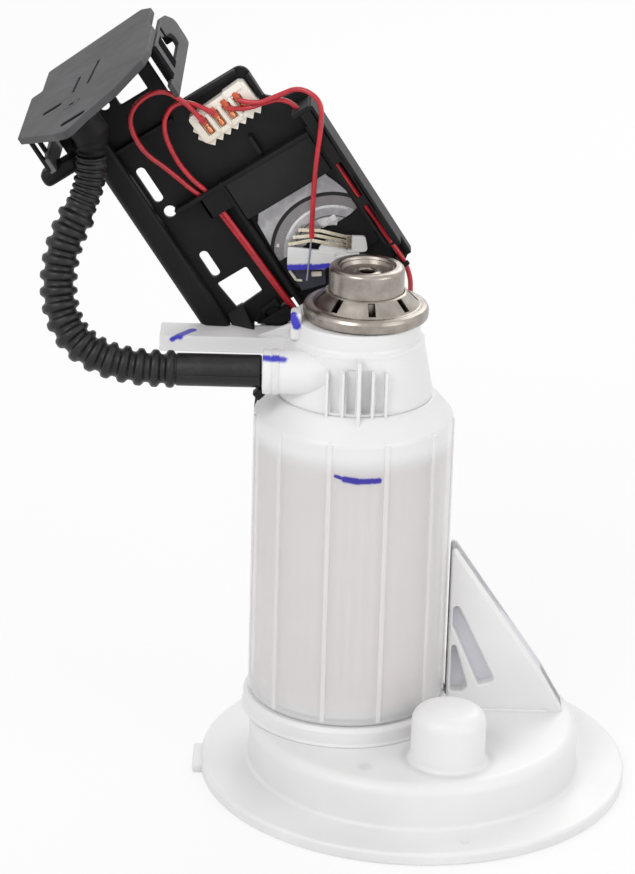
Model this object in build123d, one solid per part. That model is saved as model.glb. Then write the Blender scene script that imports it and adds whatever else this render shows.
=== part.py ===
"""Fuel filter and level sender module of a saddle fuel tank, standing inverted on its cover.

Frame: millimetres, +Z up, origin on the cover's axis at the outer (lower) face of its rim.
The filter can stands on the cover. A hinged tray beside it carries the level sender, the
wiring and the foot that reaches the tank's floor, and leans on the can's arm.
"""
from build123d import *
import os
from math import cos, sin, tan, radians, degrees, sqrt, pi

# ---------------------------------------------------------------- driving dimensions
# cover
flange_r = 72.5          # rim that the tank's lock ring clamps
flange_t = 4.3
rim_round = 0.6
plinth_r = 56.1          # plug that centres the cover in the tank's opening
plinth_top = 20.2
plinth_wall = 2.8
plinth_roof = 3.0
plinth_round = 2.4
tab_y0, tab_y1, tab_reach = -10.5, -1.5, 2.6
boss_x, boss_y = 10.7, -34.0
boss_r, boss_top = 12.4, 38.6
boss_wall, boss_round = 2.2, 3.2
fin_y0, fin_y1 = 3.0, 17.0
fin_top, fin_skin = 80.0, 1.8
fin_gap = 1.45           # between the fin and the can's ribs
fin_bend = (43.5, 33.0)  # x and z where the fin's edge turns out along the drum
# filter can
can_x, can_y = -23.6, 6.0
can_r, can_wall = 33.2, 1.8
seat_h, seat_r = 6.6, 34.9
seat_w = 7.7             # width of the seat's ring
can_len = 100.5          # from its base to the start of the shoulder
shoulder_h = 7.5
neck_r0 = 25.8
rib_count, rib_w, rib_out = 11, 1.7, 0.45
first_rib = 19.3         # degrees from the front, towards +X
# pleated element
element_r1, element_r0 = 29.6, 19.0
pleat_count, pleat_t = 44, 0.55
element_base_gap, element_len = 3.0, 86.0
end_cap_t = 2.0
core_r = 15.0
# head of the can
neck_h = 19.5
neck_r1 = 22.4
collar_r, collar_h = 21.2, 6.6
head_wall = 2.4
nozzle_y, nozzle_r, nozzle_wall, nozzle_reach = -9.0, 7.2, 1.7, 30.4
nozzle_up = 11.2         # nozzle axis above the head's base
arm_reach, arm_depth, arm_h, arm_wall = 65.4, 13.5, 5.6, 1.3
# pressure regulator
reg_off = 2.9            # the regulator sits this far off the can's axis
rim_r, rim_h = 20.7, 4.9
cup_r, cup_h, cup_wall = 12.4, 9.2, 0.9
cone_rise = 4.5
reg_slots, first_slot = 8, 6.6
seal_wire = 2.4
valve_lift = 0.8
# sender tray
lean = 33.5              # degrees between the tray and upright
hinge_x, hinge_z = -50.5, 150.1
tray_y = 34.0            # front face of the tray's floor
floor_t = 2.0
tray_left, tray_right = -22.5, 51.3
tray_top = 100.2
tray_wall = 2.0
side_wall_h = 12.6
lip_w, lip_t = 5.2, 1.5
beam_h, beam_w = 5.0, 8.5
pin_r, knuckle_r = 2.0, 4.4
knuckle_w0, knuckle_w1 = -4.8, 1.8   # behind and in front of the floor's face
ear_t = 5.0
run_gap = 0.05           # radial running clearance of every pivot
seat_gap = 0.2           # gap between pieces that rest on each other
fit_gap = 0.02           # radial gap of a piece that is pressed or snapped on
# level sender
pivot_a, pivot_b = 28.7, 9.7
shaft_r = 2.5
board_t = 0.7
track_r0, track_r1 = 15.2, 20.6
rod_r, rod_len = 1.2, 72.0
rod_y = 55.0
float_l, float_w, float_t = 40.0, 17.0, 14.0
# foot
plate_t = 2.6
plate_b = tray_top + plate_t
guard_t = 1.8
guard_low = 84.6         # lower edge of the guards
guard_band = 4.6
# hose and wires
hose_r = 6.0
wire_r = 0.85

# ---------------------------------------------------------------- worked-out places
recess_r = plinth_r - plinth_wall
roof_z = plinth_top - plinth_roof
can_base = plinth_top + seat_h
shoulder_z = can_base + can_len
head_z = shoulder_z + shoulder_h
collar_z = head_z + neck_h
collar_top = collar_z + collar_h
reg_x = can_x + reg_off
nozzle_z = head_z + nozzle_up
rest_z = hinge_z - 2.5                  # top of the arm, which the leaning tray rests on
tray = Plane(
    origin=(hinge_x, tray_y, hinge_z),
    x_dir=(cos(radians(lean)), 0, sin(radians(lean))),
    z_dir=(0, -1, 0),
)


# ---------------------------------------------------------------- helpers
def block(x0, x1, y0, y1, z0, z1):
    """A box given by its limits along each axis."""
    middle = ((x0 + x1) / 2, (y0 + y1) / 2, (z0 + z1) / 2)
    return Pos(*middle) * Box(x1 - x0, y1 - y0, z1 - z0)


def rod(x, y, z0, z1, radius):
    """An upright cylinder between two heights."""
    return Pos(x, y, (z0 + z1) / 2) * Cylinder(radius, z1 - z0)


def turned(points, x=0.0, y=0.0):
    """A turned part from its half section, given as (radius, height) points."""
    section = Plane.XZ * make_face(Polyline(*points, close=True))
    return Pos(x, y, 0) * revolve(section, Axis.Z)


def slab(points, z0, z1):
    """A flat part cut to an outline, between two heights."""
    face = make_face(Polyline(*points, close=True))
    return Pos(0, 0, z0) * extrude(face, z1 - z0)


def corners(part, x, y):
    """The upright edge of a slab at one corner of its outline."""
    near = lambda e: abs(e.center().X - x) < 0.05 and abs(e.center().Y - y) < 0.05
    return part.edges().filter_by(Axis.Z).filter_by(near)


def on_tray(a, b, w):
    """A point given across, along and in front of the tray's floor, in the part's frame."""
    along = radians(lean)
    x = hinge_x + a * cos(along) - b * sin(along)
    z = hinge_z + a * sin(along) + b * cos(along)
    return (x, tray_y - w, z)


def cord(points, radius):
    """A tube along straight runs that are joined by arcs as large as the runs allow."""
    spots = [Vector(*p) for p in points]
    radii = []
    for before, spot, after in zip(spots, spots[1:], spots[2:]):
        run_in, run_out = spot - before, after - spot
        half_turn = radians(run_in.get_angle(run_out)) / 2
        radii.append(0.45 * min(run_in.length, run_out.length) / tan(half_turn))
    path = FilletPolyline(*spots, radius=radii)
    section = Plane(origin=path @ 0, z_dir=path % 0) * Circle(radius)
    return sweep(section, path=path)


# ---------------------------------------------------------------- cover
def fillet_corner(face, r, z, radius):
    """Rounds one corner of a half section."""
    near = lambda v: abs(v.X - r) < 0.01 and abs(v.Y - z) < 0.01
    return fillet(face.vertices().filter_by(near), radius)


def cover_flange():
    """Flat rim of the cover, with the tab that sets which way round it goes."""
    section = make_face(Polyline(
        (recess_r, 0), (flange_r, 0), (flange_r, flange_t), (recess_r, flange_t), close=True))
    rim = revolve(Plane.XZ * fillet_corner(section, flange_r, flange_t, rim_round), Axis.Z)
    tab = block(-flange_r - tab_reach, -flange_r + 3, tab_y0, tab_y1, 0, flange_t - 0.8)
    return rim + tab


def cover_plinth():
    """Drum on the rim: wall and roof round the recess where the connections are."""
    section = make_face(Polyline(
        (recess_r, flange_t), (plinth_r, flange_t), (plinth_r, plinth_top), (0, plinth_top),
        (0, roof_z), (recess_r, roof_z), close=True))
    drum = revolve(Plane.XZ * fillet_corner(section, plinth_r, plinth_top, plinth_round), Axis.Z)
    pocket = rod(boss_x, boss_y, roof_z - 1, plinth_top + 1, boss_r - boss_wall)
    return drum - pocket - cover_openings()


def cover_boss():
    """Round boss on the drum, hollow from below."""
    boss = rod(boss_x, boss_y, plinth_top, boss_top, boss_r)
    boss = fillet(boss.edges().group_by(Axis.Z)[-1], boss_round)
    return boss - rod(boss_x, boss_y, plinth_top - 1, boss_top - boss_wall, boss_r - boss_wall)


def cover_fin():
    """Fin that stiffens the can's foot on the drum, with two pockets in its face."""
    x_foot = sqrt(plinth_r ** 2 - fin_y1 ** 2) - plinth_round
    x_can = can_x + can_r
    side = make_face(Polyline(
        (can_x, plinth_top), (can_x, fin_top + 6), (x_can, fin_top), fin_bend,
        (x_foot, plinth_top), close=True))
    depth = fin_y1 - fin_y0
    fin = Pos(0, fin_y1, 0) * extrude(Plane.XZ * side, depth)
    # pockets either side of a diagonal rib
    low = plinth_top + 6.5
    outer = [(x_can - 6, 64.0), (x_can + 1.5, 60.5), (27.5, 30.5), (21.5, low + 2)]
    inner = [(x_can - 6, 54.5), (x_can + 1.0, 50.0), (18.2, low + 2), (16.0, low), (x_can - 6, low)]
    for pocket in (outer, inner):
        face = make_face(Polyline(*pocket, close=True))
        fin -= Pos(0, fin_y1 - fin_skin, 0) * extrude(Plane.XZ * face, depth)
    can_room = rod(can_x, can_y, plinth_top - 2, fin_top + 10, can_r + rib_out + fin_gap)
    seat_room = rod(can_x, can_y, plinth_top - 2, can_base, seat_r + seat_gap)
    return fin - can_room - seat_room


def seat_ring():
    """Welded ring that lifts the can off the plinth."""
    r0 = seat_r - seat_w
    z0, z1 = plinth_top, can_base - seat_gap
    profile = [(r0, z0), (seat_r, z0), (seat_r, z1 - 1.2), (seat_r - 1.2, z1), (r0, z1)]
    return turned(profile, can_x, can_y)


# connections in the recess under the cover
nipple_x, nipple_y, nipple_r = -23.6, -16.0, 3.95
nipple_low, stem_wall, stem_collar = 2.0, 1.2, 1.5
socket_in = 0.9          # the socket's middle is this far inside the back of the can's seat
socket_x, socket_y = 0.0, can_y + seat_r - socket_in
socket_l, socket_w, socket_wall = 26.0, 13.0, 1.6
socket_low = 4.0
pin_count, pin_pitch, terminal_w, terminal_t = 4, 5.0, 2.4, 0.8
terminal_top = plinth_top + 5.0
terminal_low = socket_low + 3.5


def cover_openings():
    """Holes through the plinth's roof for the outlet stem and the socket's terminals."""
    cuts = rod(nipple_x, nipple_y, roof_z - 1, plinth_top + 1, nipple_r + stem_collar)
    for x in terminal_places():
        w, t = terminal_w / 2, terminal_t / 2
        cuts += block(x - w, x + w, socket_y - t, socket_y + t, roof_z - 1, plinth_top + 1)
    return cuts


def terminal_places():
    return [socket_x + (i - (pin_count - 1) / 2) * pin_pitch for i in range(pin_count)]


def outlet_nipple():
    """Quick-connect stem, with the bead that its connector latches on."""
    bore = nipple_r - stem_wall
    bead = nipple_low + 8.0
    profile = [
        (bore, nipple_low), (nipple_r - 0.5, nipple_low), (nipple_r, nipple_low + 0.8),
        (nipple_r, bead), (nipple_r + 1.1, bead + 0.6), (nipple_r + 1.1, bead + 1.6),
        (nipple_r, bead + 2.2), (nipple_r, roof_z - 2.2), (nipple_r + 4, roof_z - 2.2),
        (nipple_r + 4, roof_z), (nipple_r + stem_collar, roof_z),
        (nipple_r + stem_collar, plinth_top),
        (bore, plinth_top),
    ]
    return turned(profile, nipple_x, nipple_y)


def cable_socket():
    """Open shell round the terminals, hanging from the plinth's roof."""
    l, w, t = socket_l / 2, socket_w / 2, socket_wall
    shell = block(socket_x - l, socket_x + l, socket_y - w, socket_y + w, socket_low, roof_z)
    shell = fillet(shell.edges().filter_by(Axis.Z), 2.0)
    cavity = block(socket_x - l + t, socket_x + l - t, socket_y - w + t, socket_y + w - t,
                   socket_low - 1, roof_z - 2.0)
    latch = block(socket_x - 3, socket_x + 3, socket_y + w, socket_y + w + 1.4,
                  socket_low + 1, socket_low + 3.4)
    shell = shell - cavity + latch
    for x in terminal_places():
        hw, ht = terminal_w / 2, terminal_t / 2
        shell -= block(x - hw, x + hw, socket_y - ht, socket_y + ht, roof_z - 3, roof_z + 1)
    return shell


def socket_terminals():
    blades = []
    for x in terminal_places():
        hw, ht = terminal_w / 2, terminal_t / 2
        blades.append(block(x - hw, x + hw, socket_y - ht, socket_y + ht,
                            terminal_low, terminal_top))
    return Compound(children=[b.solid() for b in blades])


# ---------------------------------------------------------------- filter can and element
def filter_can():
    """Translucent can: ribbed wall, floor, and shoulder that the head is welded on."""
    r, t = can_r, can_wall
    profile = [
        (0, can_base), (r - 1.5, can_base), (r, can_base + 1.5), (r, shoulder_z),
        (neck_r0 + 0.6, head_z), (neck_r0 - 3, head_z), (neck_r0 - 3, head_z - t),
        (neck_r0 - 0.8, head_z - t), (r - t, shoulder_z - 0.8), (r - t, can_base + t),
        (0, can_base + t),
    ]
    can = turned(profile, can_x, can_y)
    rib = block(-rib_w / 2, rib_w / 2, -r - rib_out, -r + 0.6, can_base + 2, shoulder_z + 0.2)
    rib = chamfer(rib.edges().filter_by(Axis.X).group_by(Axis.Z)[-1], 0.5)
    for i in range(rib_count):
        turn = first_rib + i * 360 / rib_count
        can += Pos(can_x, can_y, 0) * Rot(0, 0, turn) * rib
    return can


element_z0 = can_base + can_wall + element_base_gap
element_z1 = element_z0 + element_len


def zigzag(outer, inner, count):
    points = []
    for i in range(count):
        for radius, step in ((outer, 0.0), (inner, 0.5)):
            angle = 2 * pi * (i + step) / count
            points.append((radius * cos(angle), radius * sin(angle)))
    return make_face(Polyline(*points, close=True))


def pleated_element():
    """Folded paper between its end caps."""
    half_pitch = pi * (element_r1 + element_r0) / 2 / pleat_count
    flank = half_pitch / sqrt(half_pitch ** 2 + (element_r1 - element_r0) ** 2)
    step = pleat_t / flank
    sheet = zigzag(element_r1, element_r0, pleat_count) - zigzag(
        element_r1 - step, element_r0 - step, pleat_count)
    z0, z1 = element_z0 + end_cap_t, element_z1 - end_cap_t
    return Pos(can_x, can_y, z0) * extrude(sheet, z1 - z0)


def element_cap(z0, z1, bore):
    """Cap that seals one end of the pleats."""
    r = element_r1 + 0.8
    return turned([(bore, z0), (r, z0), (r, z1), (bore, z1)], can_x, can_y)


def element_bottom_cap():
    """Lower cap on three feet that stand on the can's floor."""
    cap = element_cap(element_z0, element_z0 + end_cap_t, 0.0)
    foot = block(20.0, 24.0, -2.0, 2.0, can_base + can_wall, element_z0 + 0.5)
    for turn in (0, 120, 240):
        cap += Pos(can_x, can_y, 0) * Rot(0, 0, turn) * foot
    return cap


def element_top_cap():
    """Upper cap, with the spigot that pushes into the head."""
    z0, z1 = element_z1 - end_cap_t, element_z1
    cap = element_cap(z0, z1, core_r - 2)
    spigot = turned([(core_r - 2, z0), (core_r, z0), (core_r, head_z - 3), (core_r - 2, head_z - 3)],
                    can_x, can_y)
    return cap + spigot


def element_core():
    """Perforated tube inside the pleats."""
    z0, z1 = element_z0 + end_cap_t, element_z1 - end_cap_t
    r = core_r
    tube = turned([(r - 1.2, z0), (r, z0), (r, z1), (r - 1.2, z1)], can_x, can_y)
    for level in (0.25, 0.5, 0.75):
        z = z0 + level * (z1 - z0)
        for turn in (0, 90):
            slot = Rot(0, 0, turn) * Box(2.2 * r, 4.0, 12.0)
            tube -= Pos(can_x, can_y, z) * slot
    return tube


# ---------------------------------------------------------------- head of the can
slot_spots = (-30.2, -24.9, -20.1, -15.6)
slot_z0, slot_z1 = head_z + 0.8, head_z + 15.5
reg_bore = 15.4


def can_head():
    """Neck and collar for the regulator, the hose nozzle, and the arm that the tray leans on."""
    z0 = head_z
    body = turned(
        [(0, z0), (neck_r0, z0), (neck_r0, z0 + 1.2), (neck_r1, collar_z), (collar_r, collar_z),
         (collar_r, collar_top), (0, collar_top)], can_x, can_y)
    nozzle = Pos(can_x - nozzle_reach / 2, nozzle_y, nozzle_z) * Rot(0, 90, 0) * Cylinder(
        nozzle_r, nozzle_reach)
    collar = Pos(can_x - nozzle_reach + 1.2, nozzle_y, nozzle_z) * Rot(0, 90, 0) * Cylinder(
        nozzle_r + 0.5, 2.4)
    arm_y1 = tray_y - 2.0
    arm = block(can_x - arm_reach, can_x - 8, arm_y1 - arm_depth, arm_y1, rest_z - arm_h, rest_z)
    ear_y0 = tray_y - knuckle_w0 + 0.3
    web_y1 = ear_y0 + ear_t
    web = block(hinge_x - 5.5, hinge_x + 5.5, arm_y1 - 2, web_y1,
                hinge_z - knuckle_r - 4.2, hinge_z - knuckle_r - 0.7)
    ear = Pos(hinge_x, (ear_y0 + web_y1) / 2, hinge_z) * Rot(90, 0, 0) * Cylinder(
        knuckle_r + 0.6, web_y1 - ear_y0)
    ear += block(hinge_x - 5, hinge_x + 5, ear_y0, web_y1, hinge_z - knuckle_r - 3, hinge_z)
    head = body + nozzle + collar + arm + web + ear
    # inside: element space, regulator bore, nozzle and arm
    inner = neck_r1 - head_wall
    head -= turned([(0, z0 - 1), (inner, z0 - 1), (inner - 1.4, collar_z - 6),
                    (core_r - 3, collar_z - 3), (0, collar_z - 3)], can_x, can_y)
    head -= rod(reg_x, can_y, collar_z - 1.5, collar_top + 1, reg_bore)
    head -= rod(reg_x, can_y, collar_z - 4, collar_top + 1, 5.0)
    bore = nozzle_r - nozzle_wall
    head -= Pos(can_x - nozzle_reach + 5.5, nozzle_y, nozzle_z) * Rot(0, 90, 0) * Cylinder(bore, 13.0)
    head -= Pos(can_x - nozzle_reach + 10, nozzle_y, nozzle_z) * Rot(0, 90, 0) * Cylinder(3.6, 22.0)
    t = arm_wall
    head -= block(can_x - arm_reach - 1, can_x - 30, arm_y1 - arm_depth + t, arm_y1 - t,
                  rest_z - arm_h + t, rest_z - t)
    head -= Pos(hinge_x, tray_y, hinge_z) * Rot(90, 0, 0) * Cylinder(pin_r + fit_gap, 60)
    # pockets that leave five small ribs on the neck's front
    for x in slot_spots:
        front = can_y - neck_r0
        head -= block(x - 1.5, x + 1.5, front - 2, front + 4.6, slot_z0, slot_z1)
    return head


def hinge_pin():
    """Steel pin, pressed into the head's ear, that the tray turns on."""
    y0 = tray_y - knuckle_w1 - seat_gap
    y1 = tray_y - knuckle_w0 + 0.3 + ear_t
    cap_r = hinge_z - rest_z - 0.1
    shank = Pos(hinge_x, (y0 + y1) / 2, hinge_z) * Rot(90, 0, 0) * Cylinder(pin_r, y1 - y0)
    cap = Pos(hinge_x, y0 - 0.6, hinge_z) * Rot(90, 0, 0) * Cylinder(cap_r, 1.2)
    return shank + cap


def hose_clip():
    """Snap ring on the nozzle's mouth, with its ear below."""
    x = can_x - nozzle_reach
    ring = Pos(x + 4.4, nozzle_y, nozzle_z) * Rot(0, 90, 0) * (
        Cylinder(nozzle_r + 1.1, 2.2) - Cylinder(nozzle_r + fit_gap, 2.4))
    gap = Pos(x + 4.4, nozzle_y, nozzle_z + 12) * Box(4, 30, 20)
    ear = block(x + 1.6, x + 5.4, nozzle_y - 2.2, nozzle_y + 2.2,
                nozzle_z - nozzle_r - 3.6, nozzle_z - nozzle_r - 0.5)
    ear -= block(x + 3.4, x + 6, nozzle_y - 3, nozzle_y + 3,
                 nozzle_z - nozzle_r - 4, nozzle_z - nozzle_r - 1.6)
    return ring - gap + ear


# ---------------------------------------------------------------- pressure regulator
rim_z = collar_top
cone_z0 = rim_z + rim_h
cup_z0 = cone_z0 + cone_rise - 1.0
cup_top = cup_z0 + cup_h
sheet = 0.8


def regulator_retainer():
    """Pressed steel ring: rolled rim, slotted cone and collar round the cup."""
    r, z = rim_r, rim_z
    hole = cup_r + 0.15
    profile = [
        (r - 1.4, z), (r - 0.4, z + 0.5), (r, z + 1.7), (r, z + 3.3), (r - 0.5, z + 4.3),
        (r - 1.6, cone_z0), (r - 2.8, cone_z0 - 0.1), (hole + 0.9, cone_z0 + cone_rise - 0.6),
        (hole + 0.3, cone_z0 + cone_rise), (hole, cone_z0 + cone_rise),
        (hole, cone_z0 + cone_rise - sheet), (hole + 0.5, cone_z0 + cone_rise - sheet - 0.4),
        (r - 3.0, cone_z0 - 0.9), (r - 1.9, z + 3.0), (r - 1.2, z + 2.4), (r - 1.2, z + 1.5),
        (r - 1.7, z + sheet),
        (reg_bore - 0.8, z + sheet), (reg_bore - 0.8, z),
    ]
    ring = turned(profile, reg_x, can_y)
    slot_middle = hole + 2.6
    for i in range(reg_slots):
        cut = Pos(slot_middle, 0, cone_z0 + cone_rise / 2) * Rot(0, 45, 0) * Box(4.8, 2.4, 6.0)
        ring -= Pos(reg_x, can_y, 0) * Rot(0, 0, first_slot + i * 360 / reg_slots) * cut
    return ring


def regulator_cup():
    """Deep-drawn cup over the spring, with its dished and vented end."""
    t, r = cup_wall, cup_r
    z0 = rim_z + sheet
    profile = [
        (r - t, z0 - 0.1), (reg_bore - 0.9, z0 - 0.1), (reg_bore - 0.9, z0 + 0.8), (r, z0 + 1.0),
        (r, cup_top - 1.0), (r - 0.9, cup_top), (r - 3.4, cup_top), (r - 4.0, cup_top - 2.2),
        (2.6, cup_top - 2.2), (2.6, cup_top - 2.2 - t), (r - 4.9, cup_top - 2.2 - t),
        (r - 4.2, cup_top - t), (r - t, cup_top - t),
    ]
    return turned(profile, reg_x, can_y)


def regulator_body():
    """Lower half of the regulator in its bore, with the seat that the valve closes."""
    z0, z1 = collar_z - 1.5 + 0.2, rim_z - 0.1
    r = reg_bore - 0.25
    groove = r - seal_wire + 0.35
    profile = [
        (1.6, z0), (r - 1, z0), (r, z0 + 0.8), (r, z0 + 1.6), (groove, z0 + 1.6),
        (groove, z0 + 1.6 + seal_wire), (r, z0 + 1.6 + seal_wire), (r, z1), (r - 1.4, z1),
        (r - 1.4, z0 + 4.6), (3.4, z0 + 4.6), (3.0, z0 + 5.6), (1.6, z0 + 5.6),
    ]
    return turned(profile, reg_x, can_y)


def regulator_seal():
    """O-ring in the body's groove."""
    z = collar_z - 1.5 + 0.2 + 1.6 + seal_wire / 2
    middle = reg_bore - seal_wire / 2 + 0.05
    return Pos(reg_x, can_y, z) * Torus(middle, seal_wire / 2 - 0.15)


seat_z = collar_z - 1.5 + 0.2 + 5.6
valve_z = seat_z + 0.05
plate_z = rim_z + 1.2


def regulator_valve():
    """Valve disc, stem and spring plate, which lift together."""
    profile = [
        (0, valve_z), (2.8, valve_z), (2.8, valve_z + 1.2), (1.4, valve_z + 1.6),
        (1.4, plate_z), (7.2, plate_z), (7.2, plate_z + 1.0), (5.0, plate_z + 1.0),
        (5.0, plate_z + 1.8), (0, plate_z + 1.8),
    ]
    return turned(profile, reg_x, can_y)


def regulator_diaphragm():
    """Thin fabric-rubber disc between the body's rim and the spring plate."""
    z = rim_z - 0.1
    r = reg_bore - 1.9
    profile = [(1.6, z + 0.5), (6.0, z + 0.5), (8.5, z - 0.6), (10.5, z + 0.1), (r, z + 0.1),
               (r, z + 0.6), (10.3, z + 0.6), (8.5, z - 0.1), (6.2, z + 1.0), (1.6, z + 1.0)]
    return turned(profile, reg_x, can_y)


spring_r, spring_wire, spring_turns = 6.1, 0.55, 4


def regulator_spring():
    """Coil spring between the spring plate and the cup's end."""
    z0 = plate_z + 1.0 + spring_wire + 0.03
    z1 = cup_top - cup_wall - 2.2 - spring_wire - 0.03
    path = Helix(pitch=(z1 - z0) / spring_turns, height=z1 - z0, radius=spring_r)
    wire = Plane(origin=path @ 0, z_dir=path % 0) * RegularPolygon(spring_wire, 6)
    return Pos(reg_x, can_y, z0) * sweep(wire, path=path, is_frenet=True)


# ---------------------------------------------------------------- sender tray
plug_l, plug_w, plug_h = 22.5, 10.8, 5.0
tab_top = 80.0           # upper edge of the floor behind the plug
tab_a0, tab_a1 = 11.5, 37.8
shoulder_b = 62.4
ridge_b = 50.6
cell_a0 = 9.6            # left wall of the sender's cell
cell_b0 = -2.0           # its lower end clears the can's arm when the tray is upright
stop_a0, stop_a1, stop_reach = -13.8, -7.2, 9.0
wire_notch = (3.6, 9.6)  # slot in the floor's lower edge, where the pair leaves the tray


def level_b(a, z):
    """How far along the tray a point across it at a lies at height z."""
    along = radians(lean)
    return (z - hinge_z - a * sin(along)) / cos(along)


def tray_floor_outline():
    low = rest_z + seat_gap
    return [
        (tray_left, level_b(tray_left, low)), (tray_left, tray_top), (tab_a0, tray_top),
        (tab_a0, tab_top), (tab_a1, tab_top), (tab_a1, 67.0), (41.7, shoulder_b + 1),
        (tray_right, shoulder_b), (tray_right, -4.0), (46.0, -7.0), (39.0, -1.5), (30.0, -4.0),
        (5.0, -4.2), (-2.0, -3.6), (stop_a1, level_b(stop_a1, low)),
    ]


def sender_tray():
    """Moulded tray: windowed floor, left beam, deep right wall with its lip, and ribs."""
    floor = slab(tray_floor_outline(), -floor_t, 0)
    floor = fillet(corners(floor, tab_a1, tab_top) + corners(floor, tab_a0, tab_top)
                   + corners(floor, tray_right, shoulder_b), 3.5)
    low = rest_z + seat_gap
    beam_a1 = tray_left + beam_w
    beam = slab([(tray_left, level_b(tray_left, low)), (tray_left, tray_top),
                 (beam_a1, tray_top), (beam_a1, level_b(beam_a1, low))], -floor_t, beam_h)
    outer = beam.edges().filter_by(Axis.Y).group_by(Axis.Z)[-1]
    beam = fillet(outer.sort_by(Axis.X)[0], 3.2)
    beam = fillet(beam.edges().filter_by(Axis.Y).group_by(Axis.Z)[-1].sort_by(Axis.X)[-1], 1.2)
    body = floor + beam
    # right wall and its lip, with the two wire windows
    t = tray_wall
    body += block(tray_right - t, tray_right, -3.6, shoulder_b - 3.5, -floor_t, side_wall_h)
    lip_a, lip_b0, lip_b1 = tray_right - lip_w, 3.2, shoulder_b - 4.5
    lip = slab([(tray_right - t / 2, lip_b0), (lip_a + 1.2, lip_b0), (lip_a, lip_b0 + 3),
                (lip_a, lip_b1), (tray_right - t / 2, lip_b1)], side_wall_h - lip_t, side_wall_h)
    for b0, b1 in ((4.8, 20.5), (24.0, 37.5)):
        lip -= block(lip_a + 0.9, tray_right - t - 0.2, b0, b1, 0, side_wall_h + 1)
    body += lip
    body += block(43.5, tray_right - 1, shoulder_b - 4.6, shoulder_b - 3.0, -1, side_wall_h)
    # walls of the sender's cell and the ridge above it
    channel = (2.2, 8.8)
    body += block(cell_a0, cell_a0 + 1.4, cell_b0, ridge_b, -1, 5.6)
    ridge = block(tray_left + 6, 44.3, ridge_b, ridge_b + 1.6, -1, 6.4)
    ridge -= block(*channel, ridge_b - 1, ridge_b + 3, 0, 3.9)
    body += ridge
    body += block(44.3, 45.7, 10.0, ridge_b + 1.6, -1, 6.4)
    # bridge that holds the wires down where they enter the channel
    body += block(channel[0] - 1.4, channel[0], 41.0, ridge_b + 0.5, -1, 5.2)
    body += block(channel[0] - 1.4, cell_a0 + 0.4, 41.0, ridge_b + 0.5, 3.9, 5.2)
    # rims and ribs of the upper cell
    body += block(tab_a0 + 3.5, tab_a1 - 3.5, tab_top - 1.6, tab_top, -1, 2.6)
    body += block(tab_a1 - 1.6, tab_a1, 67.5, tab_top - 3.5, -1, 2.6)
    body += block(26.0, 27.4, ridge_b + 1, ridge_b + 8.0, -1, 4.0)
    body += block(-14.5, 8.0, 76.0, 77.4, -1, 3.0)
    # knuckle and the stop that lands on the can's arm
    body += rod(0, 0, knuckle_w0, knuckle_w1, knuckle_r)
    body += slab([(-1.0, -4.2), (3.0, -3.4), (3.8, 6.0), (-3.5, 5.0)], -floor_t, knuckle_w1)
    stop = [(stop_a0, level_b(stop_a0, low)), (stop_a1, level_b(stop_a1, low)),
            (stop_a1, level_b(stop_a1, low) + 6), (stop_a0, level_b(stop_a0, low) + 2.5)]
    body += slab(stop, -floor_t, stop_reach)
    return body - tray_cuts()


def tray_cuts():
    """Windows through the floor, the knuckle's bore and the sender shaft's bearing."""
    through = 40
    cuts = Cylinder(pin_r + run_gap, through)
    cuts += Pos(pivot_a, pivot_b, 0) * Cylinder(shaft_r + run_gap, through)
    deep = (-floor_t - 1, beam_h + 1)
    cuts += slab([(-10.8, 20.1), (0.9, 20.1), (0.9, 10.0), (-9.6, 9.2)], *deep)
    cuts += Pos(-9.1, 27.3, 0) * extrude(SlotOverall(10.0, 3.2, rotation=90), 8, both=True)
    cuts += Pos(-11.2, 61.0, 0) * extrude(SlotOverall(13.6, 3.3, rotation=90), 8, both=True)
    cuts += Pos(-10.4, 49.7, 0) * Cylinder(2.1, through)
    cuts += Pos(-9.0, 91.8, 0) * Cylinder(1.8, through)
    cuts += block(-4.3, 6.4, 89.0, 98.0, *deep)
    cuts += block(wire_notch[0], wire_notch[1], -6.0, 2.6, -floor_t - 1, 1.0)
    return cuts


# ---------------------------------------------------------------- level sender
carrier_t = 1.2
cover_b = 34.9           # lower edge of the raised cover over the board
platform_h = 5.8
board_w = carrier_t


def sender_carrier():
    """Dark plate that holds the resistor board, with the raised cover over its terminals."""
    gap = 0.15
    a0, a1 = cell_a0 + 1.4 + gap, 44.3 - gap
    plate = block(a0, a1, 5.0, ridge_b - gap, 0.0, carrier_t)
    cover = block(a0, a1, cover_b, ridge_b - gap, carrier_t, platform_h)
    cover = fillet(cover.edges().group_by(Axis.Z)[-1], 0.8)
    hollow = block(a0 + 1.6, a1 - 1.6, cover_b - 1, ridge_b - 2.6, carrier_t, platform_h - 1.4)
    hub_room = Pos(pivot_a, pivot_b, 0) * Cylinder(shaft_r + 1.6, 20)
    return plate + cover - hollow - hub_room


def sender_board():
    """Ceramic board with its upper end under the carrier's cover."""
    outline = [(13.0, 15.8), (13.4, cover_b - 0.9), (13.4, cover_b + 7.1), (42.2, cover_b + 7.1),
               (42.2, cover_b - 0.8), (43.4, 21.0),
               (40.6, 17.6), (34.5, 15.8)]
    board = slab(outline, board_w, board_w + board_t)
    return board - Pos(pivot_a, pivot_b, 0) * Cylinder(track_r0 - 6.0, 20)


def arc_band(r0, r1, start, end, z0, z1):
    """A flat curved strip about the sender's pivot."""
    ring = Pos(0, 0, z0) * extrude(Circle(r1) - Circle(r0), z1 - z0)
    reach = 2 * r1
    wedge_points = [(0, 0)]
    steps = 4
    for i in range(steps + 1):
        angle = radians(start + (end - start) * i / steps)
        wedge_points.append((reach * cos(angle), reach * sin(angle)))
    return Pos(pivot_a, pivot_b, 0) * (ring & slab(wedge_points, z0 - 1, z1 + 1))


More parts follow.
